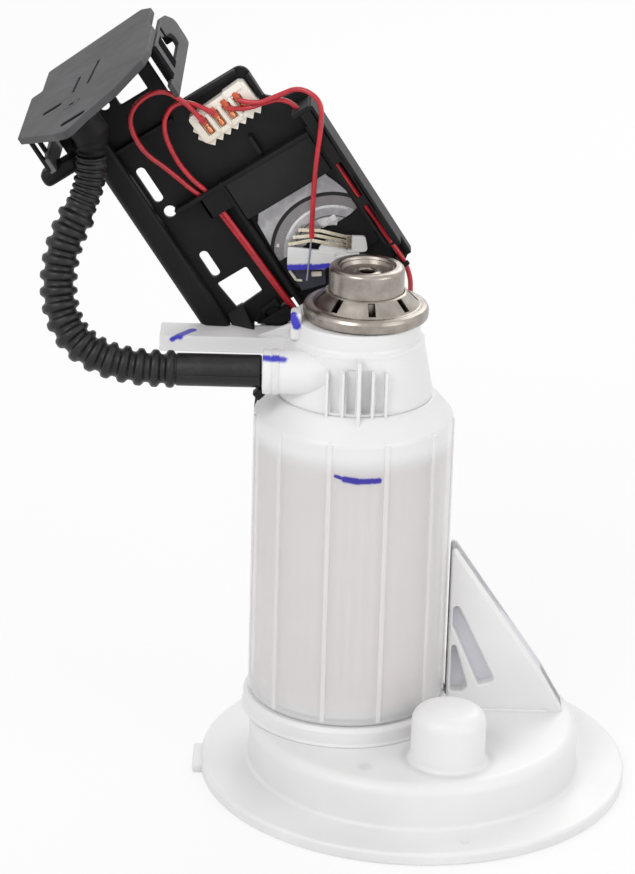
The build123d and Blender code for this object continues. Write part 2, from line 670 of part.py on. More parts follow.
def sender_tracks():
    """Two printed contact arcs on the board."""
    z0 = board_w + board_t
    outer = arc_band(track_r1 - 2.0, track_r1, 52, 138, z0, z0 + 0.12)
    inner = arc_band(track_r0, track_r0 + 2.6, 48, 142, z0, z0 + 0.12)
    return Compound(children=[outer.solid(), inner.solid()])


hub_w0, hub_w1 = 2.4, 4.3
shaft_back = tray_y - rod_y      # the float's rod lies this far behind the floor's face


def lever_hub():
    """White hub and shaft that turn together; the shaft passes through the floor."""
    hub = Pos(pivot_a, pivot_b, (hub_w0 + hub_w1) / 2) * Cylinder(5.0, hub_w1 - hub_w0)
    tail = Pos(pivot_a, pivot_b, 0) * Rot(0, 0, 146) * block(3.0, 14.5, -3.4, 2.6, hub_w0 + 0.4, hub_w1)
    wing = Pos(pivot_a, pivot_b, 0) * Rot(0, 0, -28) * block(2.0, 12.5, -4.6, 4.6, hub_w0 + 0.4, hub_w1)
    wing = fillet(wing.edges().filter_by(Axis.Z), 1.2)
    shaft_len = hub_w0 - shaft_back + 3.0
    shaft = Pos(pivot_a, pivot_b, hub_w0 - shaft_len / 2) * Cylinder(shaft_r, shaft_len)
    hub += tail + wing + shaft
    # crosswise hole that the float's rod is pressed into
    along = Plane(origin=(pivot_a, pivot_b, shaft_back), z_dir=rod_direction())
    hub -= along * Cylinder(rod_r, 20)
    return hub


rod_tilt = 5.0           # degrees off plumb, so that the hanging float stays on its stop


def rod_direction():
    """Direction of the float's rod in the tray's own axes: close to plumb at rest."""
    turn = radians(lean + rod_tilt)
    return (-sin(turn), -cos(turn), 0)


def wiper_fingers():
    """Three sprung contact strips that sweep the board's tracks."""
    fingers = []
    top = hub_w1
    for turn, reach in ((126.0, 19.4), (139.0, 18.2), (151.0, 16.6)):
        strip = block(1.5, reach, -0.7, 0.7, top, top + 0.3)
        tip_w = board_w + board_t + 0.3
        tip = block(reach - 0.9, reach, -0.7, 0.7, tip_w, top + 0.3)
        finger = Pos(pivot_a, pivot_b, 0) * Rot(0, 0, turn) * (strip + tip)
        fingers.append(finger)
    blade = fingers[0] + fingers[1] + fingers[2]
    blade += Pos(pivot_a, pivot_b, top + 0.15) * Cylinder(3.2, 0.3)
    return blade


def float_rod():
    """Bent wire from the shaft to the float."""
    start = Plane(origin=(pivot_a, pivot_b, shaft_back), z_dir=rod_direction())
    wire = start * (Pos(0, 0, rod_len / 2 - 3.0) * Cylinder(rod_r, rod_len + 6.0))
    return wire


def sender_float():
    """Foam float, moulded round the end of the rod."""
    start = Plane(origin=(pivot_a, pivot_b, shaft_back), z_dir=rod_direction())
    body = Box(float_l, float_t, float_w)
    body = fillet(body.edges().filter_by(Axis.Y), 5.0)
    body = fillet(body.edges().group_by(Axis.Y)[0] + body.edges().group_by(Axis.Y)[-1], 1.5)
    body -= Cylinder(rod_r, 2 * float_w)
    return start * (Pos(0, 0, rod_len - float_w / 2) * body)


# ---------------------------------------------------------------- wiring on the tray
plug_a, plug_b = 24.25, 70.0     # middle of the plug on the tray
plug_turn = 4.0
plug_ways, plug_teeth = 4, 6
crimp_r, crimp_l = 1.0, plug_w / 2


def plug_place():
    return Pos(plug_a, plug_b, 0) * Rot(0, 0, plug_turn)


def chamber_places():
    """Across the plug, the middle of each terminal's chamber."""
    pitch = plug_l / (plug_ways + 0.9)
    return [-plug_l / 2 + pitch * (i + 0.87) for i in range(plug_ways)]


def wire_connector():
    """Ivory plug housing with its terminal chambers and the comb along its lower side."""
    body = Pos(0, 0, plug_h / 2) * Box(plug_l, plug_w, plug_h)
    body = chamfer(body.edges().filter_by(Axis.Z), plug_w / 8)
    lock_l = plug_l * 0.31
    body += Pos(plug_l / 2 - 0.65 * lock_l, plug_w / 2 - 0.6, plug_h / 2 + 0.6) * Box(
        lock_l, 2.2, plug_h - 1.0)
    for x in chamber_places():
        body -= Pos(x, -0.05 * plug_w, plug_h) * Box(2 * crimp_r + 1.0, crimp_l + 0.6, 2 * crimp_r + 1.2)
    tooth_pitch = plug_l / (plug_teeth + 1)
    for i in range(plug_teeth):
        x = -plug_l / 2 + tooth_pitch * (i + 0.75)
        body += Pos(x, -plug_w / 2 - 0.7, plug_h / 2 - 0.6) * Box(
            tooth_pitch * 0.47, 1.8, plug_h - 1.6)
    return plug_place() * body


def connector_terminals():
    """Crimped terminals in the plug's chambers."""
    crimps = []
    for x in chamber_places():
        barrel = Pos(x, -0.05 * plug_w, plug_h - 0.6) * Rot(90, 0, 0) * Cylinder(crimp_r, crimp_l)
        crimps.append((plug_place() * barrel).solid())
    return Compound(children=crimps)


def sender_terminals():
    """Two solder tabs where the sensor's wires meet the board."""
    tabs = []
    for a in (24.6, 27.8):
        tabs.append(block(a - 0.9, a + 0.9, 19.6, 22.4, board_w + board_t + 0.12,
                          board_w + board_t + 0.9).solid())
    return Compound(children=tabs)


def wire_hook():
    """Black hook at the tray's lower right, where the side wire leaves it."""
    post = block(45.2, 46.8, -6.0, -1.5, 0.0, 7.6)
    over = block(45.2, 49.2, -6.0, -4.4, 6.2, 7.6)
    return post + over


# ---------------------------------------------------------------- foot
jet_a, jet_b, jet_w, jet_r = -12.5, 91.0, 24.0, 6.0
jet_nozzle_r = 3.0
guard_a = 14.8           # inner face of the right guard
spigot_r, spigot_drop = 5.0, 7.1


def foot_plate():
    """Plate that stands on the tank's floor, ending the tray."""
    outline = [(13.5, -47.4), (9.0, -54.0), (-28.1, -44.6), (-28.4, -21.1), (-32.6, -20.2),
               (-33.3, 26.2), (-16.5, 52.0), (-11.5, 57.5), (-5.6, 49.0), (5.3, 39.5), (14.9, 21.9),
               (guard_a + guard_t, 12.0), (guard_a + guard_t, -18.0), (13.9, -29.0)]
    along = Plane(origin=(0, tray_top, 0), x_dir=(1, 0, 0), z_dir=(0, 1, 0))
    face = [(a, -w) for a, w in outline]
    plate = along * extrude(make_face(Polyline(*face, close=True)), plate_t)
    # two drain slots near the front, the jet's hole and two grooves
    for a0, a1, w0, w1 in ((-24.2, -17.6, 13.0, 15.6), (-14.5, -6.4, 43.4, 46.0)):
        plate -= block(a0, a1, tray_top - 1, plate_b + 1, w0, w1)
    plate -= along * Pos(jet_a, -jet_w, 0) * Cylinder(jet_nozzle_r + 0.02, 20)
    for a, w0, w1 in ((-12.7, -8.3, 9.3), (-5.2, -13.9, 14.2)):
        plate -= block(a - 0.7, a + 0.7, plate_b - 0.9, plate_b + 1, w0, w1)
    return plate


def guard_wall(outline, windows, a):
    """Barred wall that stands along the tray, from its outline's (along, front) points."""
    side = Plane(origin=(a, 0, 0), x_dir=(0, 1, 0), z_dir=(1, 0, 0))
    wall = side * extrude(make_face(Polyline(*outline, close=True)), guard_t)
    for w0, w1, top in windows:
        wall -= block(a - 1, a + guard_t + 1, guard_low + guard_band, top, w0, w1)
    return wall


def guard_right():
    """Barred wall under the plate's right edge."""
    outline = [(tray_top, 13.3), (tray_top, -36.0), (98.6, -45.0), (94.9, -53.5), (92.5, -56.0),
               (guard_low, -56.0), (guard_low, 13.3)]
    windows = ((-40.0, -14.5, 96.0), (-11.5, -3.5, 98.2), (-0.5, 9.0, 98.2))
    return guard_wall(outline, windows, guard_a)


def guard_left():
    """Barred wall under the plate's left edge and the rail that ties it to the tray."""
    a1 = tray_left - seat_gap
    a = a1 - 8.6
    rail = block(a - 3.4, a1, guard_low - 2.6, guard_low + 3.6, 9.5, 16.5)
    rail = fillet(rail.edges().filter_by(Axis.X), 1.2)
    outline = [(tray_top, 21.5), (tray_top, -20.0), (guard_low + 1.5, -20.0),
               (guard_low + 1.5, 21.5)]
    windows = ((11.0, 19.0, 98.2), (0.0, 8.0, 98.2), (-11.0, -3.0, 98.2))
    rail += guard_wall(outline, windows, a)
    rail += block(a1 - 5.8, a1, guard_low - 0.6, tray_top, -floor_t, 0)
    rail += block(a1 - 1.8, a1, guard_low - 0.6, guard_low + 3.4, -floor_t, 12.0)
    return rail


def jet_pump():
    """Venturi chamber under the plate, with the spigot that the hose ends on."""
    chamber = Pos(jet_a, (jet_b + tray_top) / 2, jet_w) * Rot(90, 0, 0) * Cylinder(
        jet_r, tray_top - jet_b)
    ball = Pos(jet_a, jet_b, jet_w) * Sphere(jet_r)
    plumb = Plane(origin=(jet_a, jet_b, jet_w),
                  z_dir=(-sin(radians(lean)), -cos(radians(lean)), 0))
    spigot = plumb * (Pos(0, 0, spigot_drop / 2) * Cylinder(spigot_r, spigot_drop))
    arm_to_floor = block(jet_a - 1.3, jet_a + 2.7, jet_b + 2, tray_top - 1, 0, jet_w)
    return chamber + ball + spigot + arm_to_floor


def jet_nozzle():
    """Small orifice pressed into the chamber's outlet through the plate."""
    z0, z1 = tray_top, plate_b
    return Pos(jet_a, (z0 + z1) / 2, jet_w) * Rot(90, 0, 0) * (
        Cylinder(jet_nozzle_r, z1 - z0) - Cylinder(1.2, 20))


# ---------------------------------------------------------------- hose and wires
spigot_end = Vector(*on_tray(jet_a, jet_b, jet_w)) - Vector(0, 0, spigot_drop)
hose_mouth = can_x - nozzle_reach - 0.2


def transfer_hose():
    """Corrugated hose from the jet pump to the head's nozzle."""
    route = [
        (spigot_end.X, spigot_end.Y, spigot_end.Z - 0.1),
        (spigot_end.X, spigot_end.Y, 203.5),
        (-115.4, 7.6, 194.0),
        (-120.6, 4.6, 184.5), (-122.4, 1.4, 174.0), (-121.3, -2.2, 163.5), (-116.2, -5.6, 154.6),
        (-107.6, -8.0, 149.0), (-96.0, -9.1, 146.3), (-83.5, -8.9, 145.8), (-70.0, nozzle_y, nozzle_z),
        (hose_mouth, nozzle_y, nozzle_z),
    ]
    return cord(route, hose_r)


pair_drop = [(-43.6, 35.8, 148.6), (-41.8, 38.6, 138.5), (-36.6, 41.4, 125.5), (-27.5, 42.6, 106.0),
             (-16.5, 42.6, 80.0), (-9.6, 42.2, 55.0), (-7.8, 41.0, 37.0)]
pair_pitch = 2.3         # the pair runs down the can's back one behind the other


def onto_terminal(i):
    """The last two points of a wire that comes down onto one of the socket's blades."""
    x = terminal_places()[i]
    return [(x, socket_y, terminal_top + 5.0), (x, socket_y, terminal_top + 0.1)]


def wire_front():
    """Wire of the pair whose loop reaches furthest over the tray's left beam."""
    tray_run = [(17.0, 71.2, 6.3), (13.6, 83.2, 11.0), (4.5, 88.4, 10.5), (-3.6, 83.0, 9.5),
                (-4.9, 73.0, 8.2), (-1.8, 63.0, 6.6), (3.6, 55.6, 3.6), (4.4, 50.0, 2.4), (4.4, 38.0, 2.4),
                (5.2, 22.0, 2.5), (5.6, 7.0, 2.6), (6.0, -0.6, 0.6)]
    return cord([on_tray(*p) for p in tray_run] + pair_drop + onto_terminal(0), wire_r)


def wire_back():
    """Wire of the pair with the tighter loop."""
    tray_run = [(21.6, 71.6, 6.3), (17.8, 79.4, 6.6), (11.0, 81.4, 6.0), (5.0, 77.0, 6.6),
                (3.6, 67.0, 6.6), (4.6, 59.0, 5.0), (6.6, 53.6, 2.8), (6.7, 40.0, 2.4),
                (7.4, 22.0, 2.5), (7.7, 7.0, 2.6), (8.1, -0.4, 0.6)]
    drop = [(x + 0.8, y + pair_pitch, z) for x, y, z in pair_drop]
    return cord([on_tray(*p) for p in tray_run] + drop + onto_terminal(1), wire_r)


def wire_sensor():
    """Free wire from the plug over the tray's corner to the wiper, which it turns with."""
    run = [(30.8, 71.6, 6.3), (35.0, 67.4, 7.6), (43.0, 66.8, 9.5), (51.3, 66.2, 12.5),
           (55.2, 59.4, 15.6), (51.8, 52.4, 16.4), (43.2, 41.5, 14.0), (34.0, 29.8, 8.6),
           (28.2, 21.4, 6.2), (25.2, 16.0, 5.7), (24.2, 12.8, 5.7)]
    return cord([on_tray(*p) for p in run], wire_r)


def wire_side():
    """Wire behind the right wall's lip, which drops past the head to the cover."""
    tray_run = [(26.2, 71.0, 6.3), (30.6, 62.0, 5.8), (40.6, 54.6, 8.2), (46.6, 44.0, 8.4),
                (47.0, 25.0, 7.0), (47.6, 7.0, 4.8), (47.9, -8.6, 4.6)]
    down = [(-5.6, 30.6, 158.0), (-5.0, 34.6, 146.0), (-3.8, 39.4, 133.0), (-1.6, 41.8, 110.0),
            (0.6, 42.2, 80.0), (2.2, 41.6, 52.0)]
    return cord([on_tray(*p) for p in tray_run] + down + onto_terminal(2), wire_r)


# ---------------------------------------------------------------- assembly
def build():
    nodes = {
        "cover_flange": cover_flange(),
        "cover_plinth": cover_plinth(),
        "cover_boss": cover_boss(),
        "cover_fin": cover_fin(),
        "can_seat_ring": seat_ring(),
        "outlet_nipple": outlet_nipple(),
        "cable_socket": cable_socket(),
        "socket_terminals": socket_terminals(),
        "filter_can": filter_can(),
        "pleated_element": pleated_element(),
        "element_bottom_cap": element_bottom_cap(),
        "element_top_cap": element_top_cap(),
        "element_core": element_core(),
        "can_head": can_head(),
        "hinge_pin": hinge_pin(),
        "hose_clip": hose_clip(),
        "regulator_retainer": regulator_retainer(),
        "regulator_cup": regulator_cup(),
        "regulator_body": regulator_body(),
        "regulator_seal": regulator_seal(),
        "regulator_diaphragm": regulator_diaphragm(),
        "regulator_spring": regulator_spring(),
        "regulator_valve": regulator_valve(),
        "transfer_hose": transfer_hose(),
        "wire_front": wire_front(),
        "wire_back": wire_back(),
        "wire_sensor": wire_sensor(),
        "wire_side": wire_side(),
    }
    on_the_tray = {
        "sender_tray": sender_tray(),
        "foot_plate": foot_plate(),
        "foot_guard_right": guard_right(),
        "foot_guard_left": guard_left(),
        "jet_pump": jet_pump(),
        "jet_nozzle": jet_nozzle(),
        "sender_carrier": sender_carrier(),
        "sender_board": sender_board(),
        "sender_tracks": sender_tracks(),
        "sender_terminals": sender_terminals(),
        "wire_connector": wire_connector(),
        "connector_terminals": connector_terminals(),
        "wire_hook": wire_hook(),
        "lever_hub": lever_hub(),
        "wiper_fingers": wiper_fingers(),
        "float_rod": float_rod(),
        "sender_float": sender_float(),
    }
    for name, part in on_the_tray.items():
        nodes[name] = tray.location * part
    return nodes


os.makedirs("parts", exist_ok=True)
for name, part in build().items():
    export_step(part, f"parts/{name}.step")
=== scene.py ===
"""Looks of the fuel filter and level sender module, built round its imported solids."""
from math import atan2, cos, degrees, hypot, pi, radians, sin, tan

import bpy
from mathutils import Matrix, Vector


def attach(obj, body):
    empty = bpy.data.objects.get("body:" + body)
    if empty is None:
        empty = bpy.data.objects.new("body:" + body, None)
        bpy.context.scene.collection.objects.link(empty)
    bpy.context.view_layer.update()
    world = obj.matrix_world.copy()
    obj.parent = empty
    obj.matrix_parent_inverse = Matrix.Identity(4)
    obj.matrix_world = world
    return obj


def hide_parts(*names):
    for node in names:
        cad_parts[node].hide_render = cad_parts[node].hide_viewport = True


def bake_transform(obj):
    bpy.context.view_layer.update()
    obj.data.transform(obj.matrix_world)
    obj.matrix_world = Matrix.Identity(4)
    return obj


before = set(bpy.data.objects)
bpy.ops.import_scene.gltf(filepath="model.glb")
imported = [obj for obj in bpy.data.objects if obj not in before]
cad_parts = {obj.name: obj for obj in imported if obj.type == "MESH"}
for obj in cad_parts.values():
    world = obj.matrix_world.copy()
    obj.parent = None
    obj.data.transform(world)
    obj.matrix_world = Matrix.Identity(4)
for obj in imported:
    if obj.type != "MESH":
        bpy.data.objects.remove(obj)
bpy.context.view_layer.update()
bpy.ops.object.select_all(action="DESELECT")

# ------------------------ sizes, in millimetres
MM = 0.001
FLANGE_R, FLANGE_T = 72.5, 4.3
PLINTH_R, PLINTH_TOP = 56.1, 20.2
RECESS_R, RECESS_TOP = 53.3, 17.2
BOSS_X, BOSS_Y, BOSS_R, BOSS_TOP = 10.7, -34.0, 12.4, 38.6
CAN_X, CAN_Y, CAN_R, CAN_WALL = -23.6, 6.0, 33.2, 1.8
CAN_BASE, SHOULDER_Z, HEAD_Z = 26.8, 127.3, 134.8
NECK_R0, NECK_R1 = 25.8, 22.4
COLLAR_Z, COLLAR_TOP, COLLAR_R = 154.3, 160.9, 21.2
NOZZLE_Y, NOZZLE_Z, NOZZLE_R = -9.0, 146.0, 7.2
ARM_TOP, ARM_H, ARM_WALL = 147.6, 5.6, 1.3
ARM_Y0, ARM_Y1 = 18.5, 32.0
REG_X = -20.7
RIM_Z, RIM_R = 160.9, 20.7
CUP_R, CUP_TOP = 12.4, 178.5
LEAN = radians(33.5)
HINGE, PIN_BORE = (-50.5, 34.0, 150.1), 2.05
PIVOT = (28.7, 9.7)
RIB_COUNT, FIRST_RIB = 11, 19.3
LEFT, RIGHT, TRAY_TOP = -22.5, 51.3, 100.2              # the tray's beam, right wall and far end
REST = ARM_TOP + 0.2                                    # height that the tray rests at
PLATE_TOP = 102.8
JET = (-12.5, -24.0)                                    # across and behind the tray
HOSE_TOP = (-111.15, 10.0)
WIRE_R = 0.85

# frames that pieces are modelled in, in millimetres, before they go to their place
UPRIGHT = Matrix.Scale(MM, 4)
ALONG = Vector((-sin(LEAN), 0, cos(LEAN)))
ACROSS = Vector((cos(LEAN), 0, sin(LEAN)))
FRONT = Vector((0, -1, 0))


def place(x_axis, y_axis, z_axis, origin):
    """Matrix from a piece's own millimetres to the object's metres."""
    turn = Matrix((x_axis, y_axis, z_axis)).transposed().to_4x4()
    return Matrix.Scale(MM, 4) @ Matrix.Translation(origin) @ turn


TRAY = place(ACROSS, ALONG, FRONT, HINGE)               # across, along, in front
FOOT = place(ACROSS, -FRONT, ALONG, HINGE)              # across, behind, along
GUARD = place(-FRONT, ALONG, ACROSS, HINGE)             # behind, along, across
STOP = place(ALONG, FRONT, ACROSS, HINGE)               # along, in front, across
WALL = place(Vector((1, 0, 0)), Vector((0, 0, 1)), FRONT, (0, 0, 0))
ACROSS_NOZZLE = place(Vector((0, 1, 0)), Vector((0, 0, 1)), Vector((1, 0, 0)), (0, 0, 0))


def on_tray(a, b, w):
    """A point across, along and in front of the tray, in metres."""
    return TRAY @ Vector((a, b, w))


# ------------------------ camera
CAMERA_AT, CAMERA_DIP, CAMERA_ROLL = Vector((-35.4, -1058.8, 532.8)), radians(21.299), radians(1.587)
FOCAL_PIXELS, PICTURE_PIXELS, SENSOR = 3433, 874, 36
forward = Vector((0, cos(CAMERA_DIP), -sin(CAMERA_DIP)))
level = Vector((1, 0, 0))
upward = level.cross(forward)
right = level * cos(CAMERA_ROLL) + upward * sin(CAMERA_ROLL)
top = -level * sin(CAMERA_ROLL) + upward * cos(CAMERA_ROLL)
bpy.ops.object.camera_add(location=CAMERA_AT * MM)
camera = bpy.context.object
camera.name = "camera"
camera.rotation_euler = Matrix((right, top, -forward)).transposed().to_euler()
camera.data.sensor_width = SENSOR
camera.data.lens = FOCAL_PIXELS * SENSOR / PICTURE_PIXELS
camera.data.clip_start, camera.data.clip_end = 0.05, 20
bpy.context.scene.camera = camera
bpy.context.scene.view_settings.view_transform = "Standard"


# ------------------------ modelling helpers
def only(piece):
    """Selects one piece and makes it the active one."""
    bpy.context.view_layer.update()
    bpy.ops.object.select_all(action="DESELECT")
    piece.select_set(True)
    bpy.context.view_layer.objects.active = piece


def settle(piece):
    """Puts a piece's place, turn and scale into its mesh."""
    only(piece)
    bpy.ops.object.transform_apply(location=True, rotation=True, scale=True)
    return piece


def close_seams(piece, gap=0.0005):
    """Merges doubled points and turns the faces outwards."""
    only(piece)
    bpy.ops.object.mode_set(mode="EDIT")
    bpy.ops.mesh.select_all(action="SELECT")
    bpy.ops.mesh.remove_doubles(threshold=gap)
    bpy.ops.mesh.normals_make_consistent(inside=False)
    bpy.ops.object.mode_set(mode="OBJECT")
    return piece


def shape(piece, *modifiers):
    """Adds modifiers to a piece and applies them in turn."""
    only(piece)
    for kind, settings in modifiers:
        added = piece.modifiers.new(kind, kind)
        for name, value in settings.items():
            setattr(added, name, value)
        bpy.ops.object.modifier_apply(modifier=added.name)
    return piece


def soften(piece, width, segments=2, angle=35):
    """Rounds a piece's sharp edges."""
    return shape(piece, ("BEVEL", dict(width=width, segments=segments, limit_method="ANGLE",
                                       angle_limit=radians(angle), harden_normals=False)))


def block(x0, x1, y0, y1, z0, z1, edge=0.4, segments=2):
    """A moulded block given by its limits, with rounded edges."""
    bpy.ops.object.select_all(action="DESELECT")
    middle = ((x0 + x1) / 2, (y0 + y1) / 2, (z0 + z1) / 2)
    bpy.ops.mesh.primitive_cube_add(size=1, location=middle)
    piece = bpy.context.object
    piece.scale = (x1 - x0, y1 - y0, z1 - z0)
    settle(piece)
    if edge:
        soften(piece, min(edge, 0.45 * min(x1 - x0, y1 - y0, z1 - z0)), segments)
    return piece


def stud(x, y, z0, z1, radius, sides):
    """An upright round pin with a fine edge."""
    bpy.ops.object.select_all(action="DESELECT")
    bpy.ops.mesh.primitive_cylinder_add(vertices=sides, radius=radius, depth=z1 - z0,
                                        location=(x, y, (z0 + z1) / 2))
    return soften(settle(bpy.context.object), 0.1, 2, 60)


ARC_SHARE = 0.49                                        # most that a rounded corner takes of an edge


def rounded(points, closed=True, steps=5):
    """Replaces the corners of an outline that give a radius with arcs."""
    result = []
    count = len(points)
    for i, point in enumerate(points):
        radius = point[2] if len(point) > 2 else 0
        here = Vector(point[:2])
        if not radius or (not closed and i in (0, count - 1)):
            result.append(tuple(here))
            continue
        before = Vector(points[i - 1][:2]) - here
        after = Vector(points[(i + 1) % count][:2]) - here
        half = before.angle(after) / 2
        reach = min(radius / tan(half), ARC_SHARE * before.length, ARC_SHARE * after.length)
        radius = reach * tan(half)
        middle = here + (before.normalized() + after.normalized()).normalized() * radius / sin(half)
        start = here + before.normalized() * reach - middle
        end = here + after.normalized() * reach - middle
        sweep = atan2(start.x * end.y - start.y * end.x, start.dot(end))
        for k in range(steps + 1):
            turn = sweep * k / steps
            spoke = Vector((start.x * cos(turn) - start.y * sin(turn),
                            start.x * sin(turn) + start.y * cos(turn)))
            result.append(tuple(middle + spoke))
    return result


def turned(profile, x=0.0, y=0.0, sides=128, closed=False, steps=5):
    """A turned piece, spun from its half section of (radius, height, corner radius) points."""
    points = rounded(profile, closed, steps)
    bpy.ops.object.select_all(action="DESELECT")
    bpy.ops.mesh.primitive_plane_add(size=1)
    piece = bpy.context.object
    bpy.ops.object.mode_set(mode="EDIT")
    bpy.ops.mesh.select_all(action="SELECT")
    bpy.ops.mesh.merge(type="CENTER")
    here = Vector((0, 0, 0))
    for i, (radius, height) in enumerate(points + ([points[0]] if closed else [])):
        there = Vector((radius, 0, height))
        if i == 0:
            bpy.ops.transform.translate(value=there)
        else:
            bpy.ops.mesh.extrude_vertices_move(TRANSFORM_OT_translate={"value": there - here})
        here = there
    bpy.ops.mesh.select_all(action="SELECT")
    bpy.ops.mesh.remove_doubles(threshold=0.0005)
    bpy.ops.mesh.spin(steps=sides, angle=2 * pi, center=(0, 0, 0), axis=(0, 0, 1))
    bpy.ops.object.mode_set(mode="OBJECT")
    close_seams(piece, 0.002)
    piece.location = (x, y, 0)
    return settle(piece)


def ring_on_pin(r, z0, z1, edge=0.4):
    """A ring with rounded edges, bored for the hinge's pin."""
    return turned([(PIN_BORE, z0, edge), (r, z0, edge), (r, z1, edge), (PIN_BORE, z1, edge)],
                  sides=48, closed=True, steps=3)


def cut_sheet(loops, z0, z1, edge=0.3, segments=2):
    """A flat piece cut to an outline, with holes in it and rounded edges."""
    outline = bpy.data.curves.new("outline", "CURVE")
    outline.dimensions = "2D"
    outline.fill_mode = "BOTH"
    outline.extrude = max((z1 - z0) / 2 - edge, 0.01)
    outline.bevel_depth = edge
    outline.offset = -edge
    outline.bevel_resolution = segments
    for loop in loops:
        points = rounded(loop)
        spline = outline.splines.new("POLY")
        spline.points.add(len(points) - 1)
        for spot, (px, py) in zip(spline.points, points):
            spot.co = (px, py, 0, 1)
        spline.use_cyclic_u = True
    piece = bpy.data.objects.new("outline", outline)
    bpy.context.scene.collection.objects.link(piece)
    piece.location = (0, 0, (z0 + z1) / 2)
    only(piece)
    bpy.ops.object.convert(target="MESH")
    return close_seams(settle(bpy.context.object))


def circle(x, y, radius, sides=24):
    """Outline of a round hole."""
    return [(x + radius * cos(2 * pi * i / sides), y + radius * sin(2 * pi * i / sides))
            for i in range(sides)]


def rectangle(x0, x1, y0, y1, corner=0.0):
    """Outline of a window or a round-ended slot, given by its limits."""
    return [(x0, y0, corner), (x1, y0, corner), (x1, y1, corner), (x0, y1, corner)]


def turn_about(piece, angle, axis="Z"):
    """Turns a piece about an axis through the origin, in degrees."""
    bpy.context.view_layer.update()
    piece.matrix_world = Matrix.Rotation(radians(angle), 4, axis) @ piece.matrix_world
    return settle(piece)


def copies(piece, count):
    """A piece and its copies, each with its own mesh."""
    made = [piece]
    while len(made) < count:
        only(piece)
        bpy.ops.object.duplicate()
        made.append(bpy.context.object)
    return made


def cut_away(piece, *cutters):
    """Takes the cutters' space out of a piece."""
    for cutter in cutters:
        shape(piece, ("BOOLEAN", dict(operation="DIFFERENCE", object=cutter, solver="EXACT")))
        bpy.data.objects.remove(cutter)
    return piece


def join(*parts):
    """Makes several parts one piece."""
    bpy.context.view_layer.update()
    bpy.ops.object.select_all(action="DESELECT")
    for part in parts:
        part.select_set(True)
    bpy.context.view_layer.objects.active = parts[0]
    bpy.ops.object.join()
    return bpy.context.object


def dress(piece, name, material, nodes):
    """Names a finished piece, gives it its finish and hides the solids that it stands for."""
    piece.name = piece.data.name = name
    piece.data.materials.clear()
    piece.data.materials.append(material)
    # the solids' own materials have these names too, so Blender numbers the ones made here
    if nodes:
        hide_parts(*nodes)


def put(piece, name, frame_of, body, material, *nodes, slot=None, angle=38):
    """Moves a finished piece from its own millimetres to its place on a body."""
    bpy.context.view_layer.update()
    piece.matrix_world = frame_of @ piece.matrix_world
    settle(piece)
    bpy.ops.object.shade_smooth_by_angle(angle=radians(angle), keep_sharp_edges=True)
    shape(piece, ("WEIGHTED_NORMAL", dict(weight=90, keep_sharp=True)))
    dress(piece, name, material, nodes)
    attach(piece, body)


# ------------------------ shader helpers
class Wire:
    """A socket in a tree of nodes. Sums on it add Math nodes."""

    def __init__(self, nodes, socket):
        self.nodes, self.socket = nodes, socket

    def sum(self, operation, *values):
        return self.nodes.node("ShaderNodeMath", {"operation": operation}, *values)

    def __add__(self, other):
        return self.sum("ADD", self, other)

    def __sub__(self, other):
        return self.sum("SUBTRACT", self, other)

    def __mul__(self, other):
        return self.sum("MULTIPLY", self, other)

    def __truediv__(self, other):
        return self.sum("DIVIDE", self, other)

    def __rsub__(self, other):
        return self.sum("SUBTRACT", other, self)

    def __pow__(self, other):
        return self.sum("POWER", self, other)

    def sine(self):
        return self.sum("SINE", self)

    def least(self, other):
        return self.sum("MINIMUM", self, other)

    def most(self, other):
        return self.sum("MAXIMUM", self, other)

    def between(self, low, high):
        """0 below low, 1 above high, and smooth in between."""
        return self.nodes.node("ShaderNodeMapRange", {"interpolation_type": "SMOOTHSTEP"},
                               self, low, high, 0.0, 1.0)

    def beside(self, name):
        """Another output of the same node."""
        return Wire(self.nodes, self.socket.node.outputs[name])


class Nodes:
    """The nodes of a material or a world, and the one way to add to them."""

    def __init__(self, owner):
        owner.use_nodes = True
        self.tree = owner.node_tree

    def put_in(self, socket, value):
        if isinstance(value, Wire):
            self.tree.links.new(value.socket, socket)
        elif socket.type == "RGBA" and len(value) == 3:
            socket.default_value = (*value, 1)
        else:
            socket.default_value = value

    def node(self, kind, settings, *values, out=0, **named):
        """Adds a node: its settings first, then the values or links of its sockets."""
        made = self.tree.nodes.new(kind)
        for name, value in settings.items():
            setattr(made, name, value)
        for socket, value in zip(made.inputs, values):
            if value is not None:
                self.put_in(socket, value)
        for name, value in named.items():
            self.put_in(made.inputs[name.replace("_", " ")], value)
        return Wire(self, made.outputs[out]) if made.outputs else made

    def looked_at(self):
        """1 for what the camera sees, also in metal and through glass, and 0 for light."""
        rays = self.node("ShaderNodeLightPath", {}, out="Is Camera Ray")
        return rays.most(rays.beside("Is Glossy Ray")).most(rays.beside("Is Transmission Ray"))


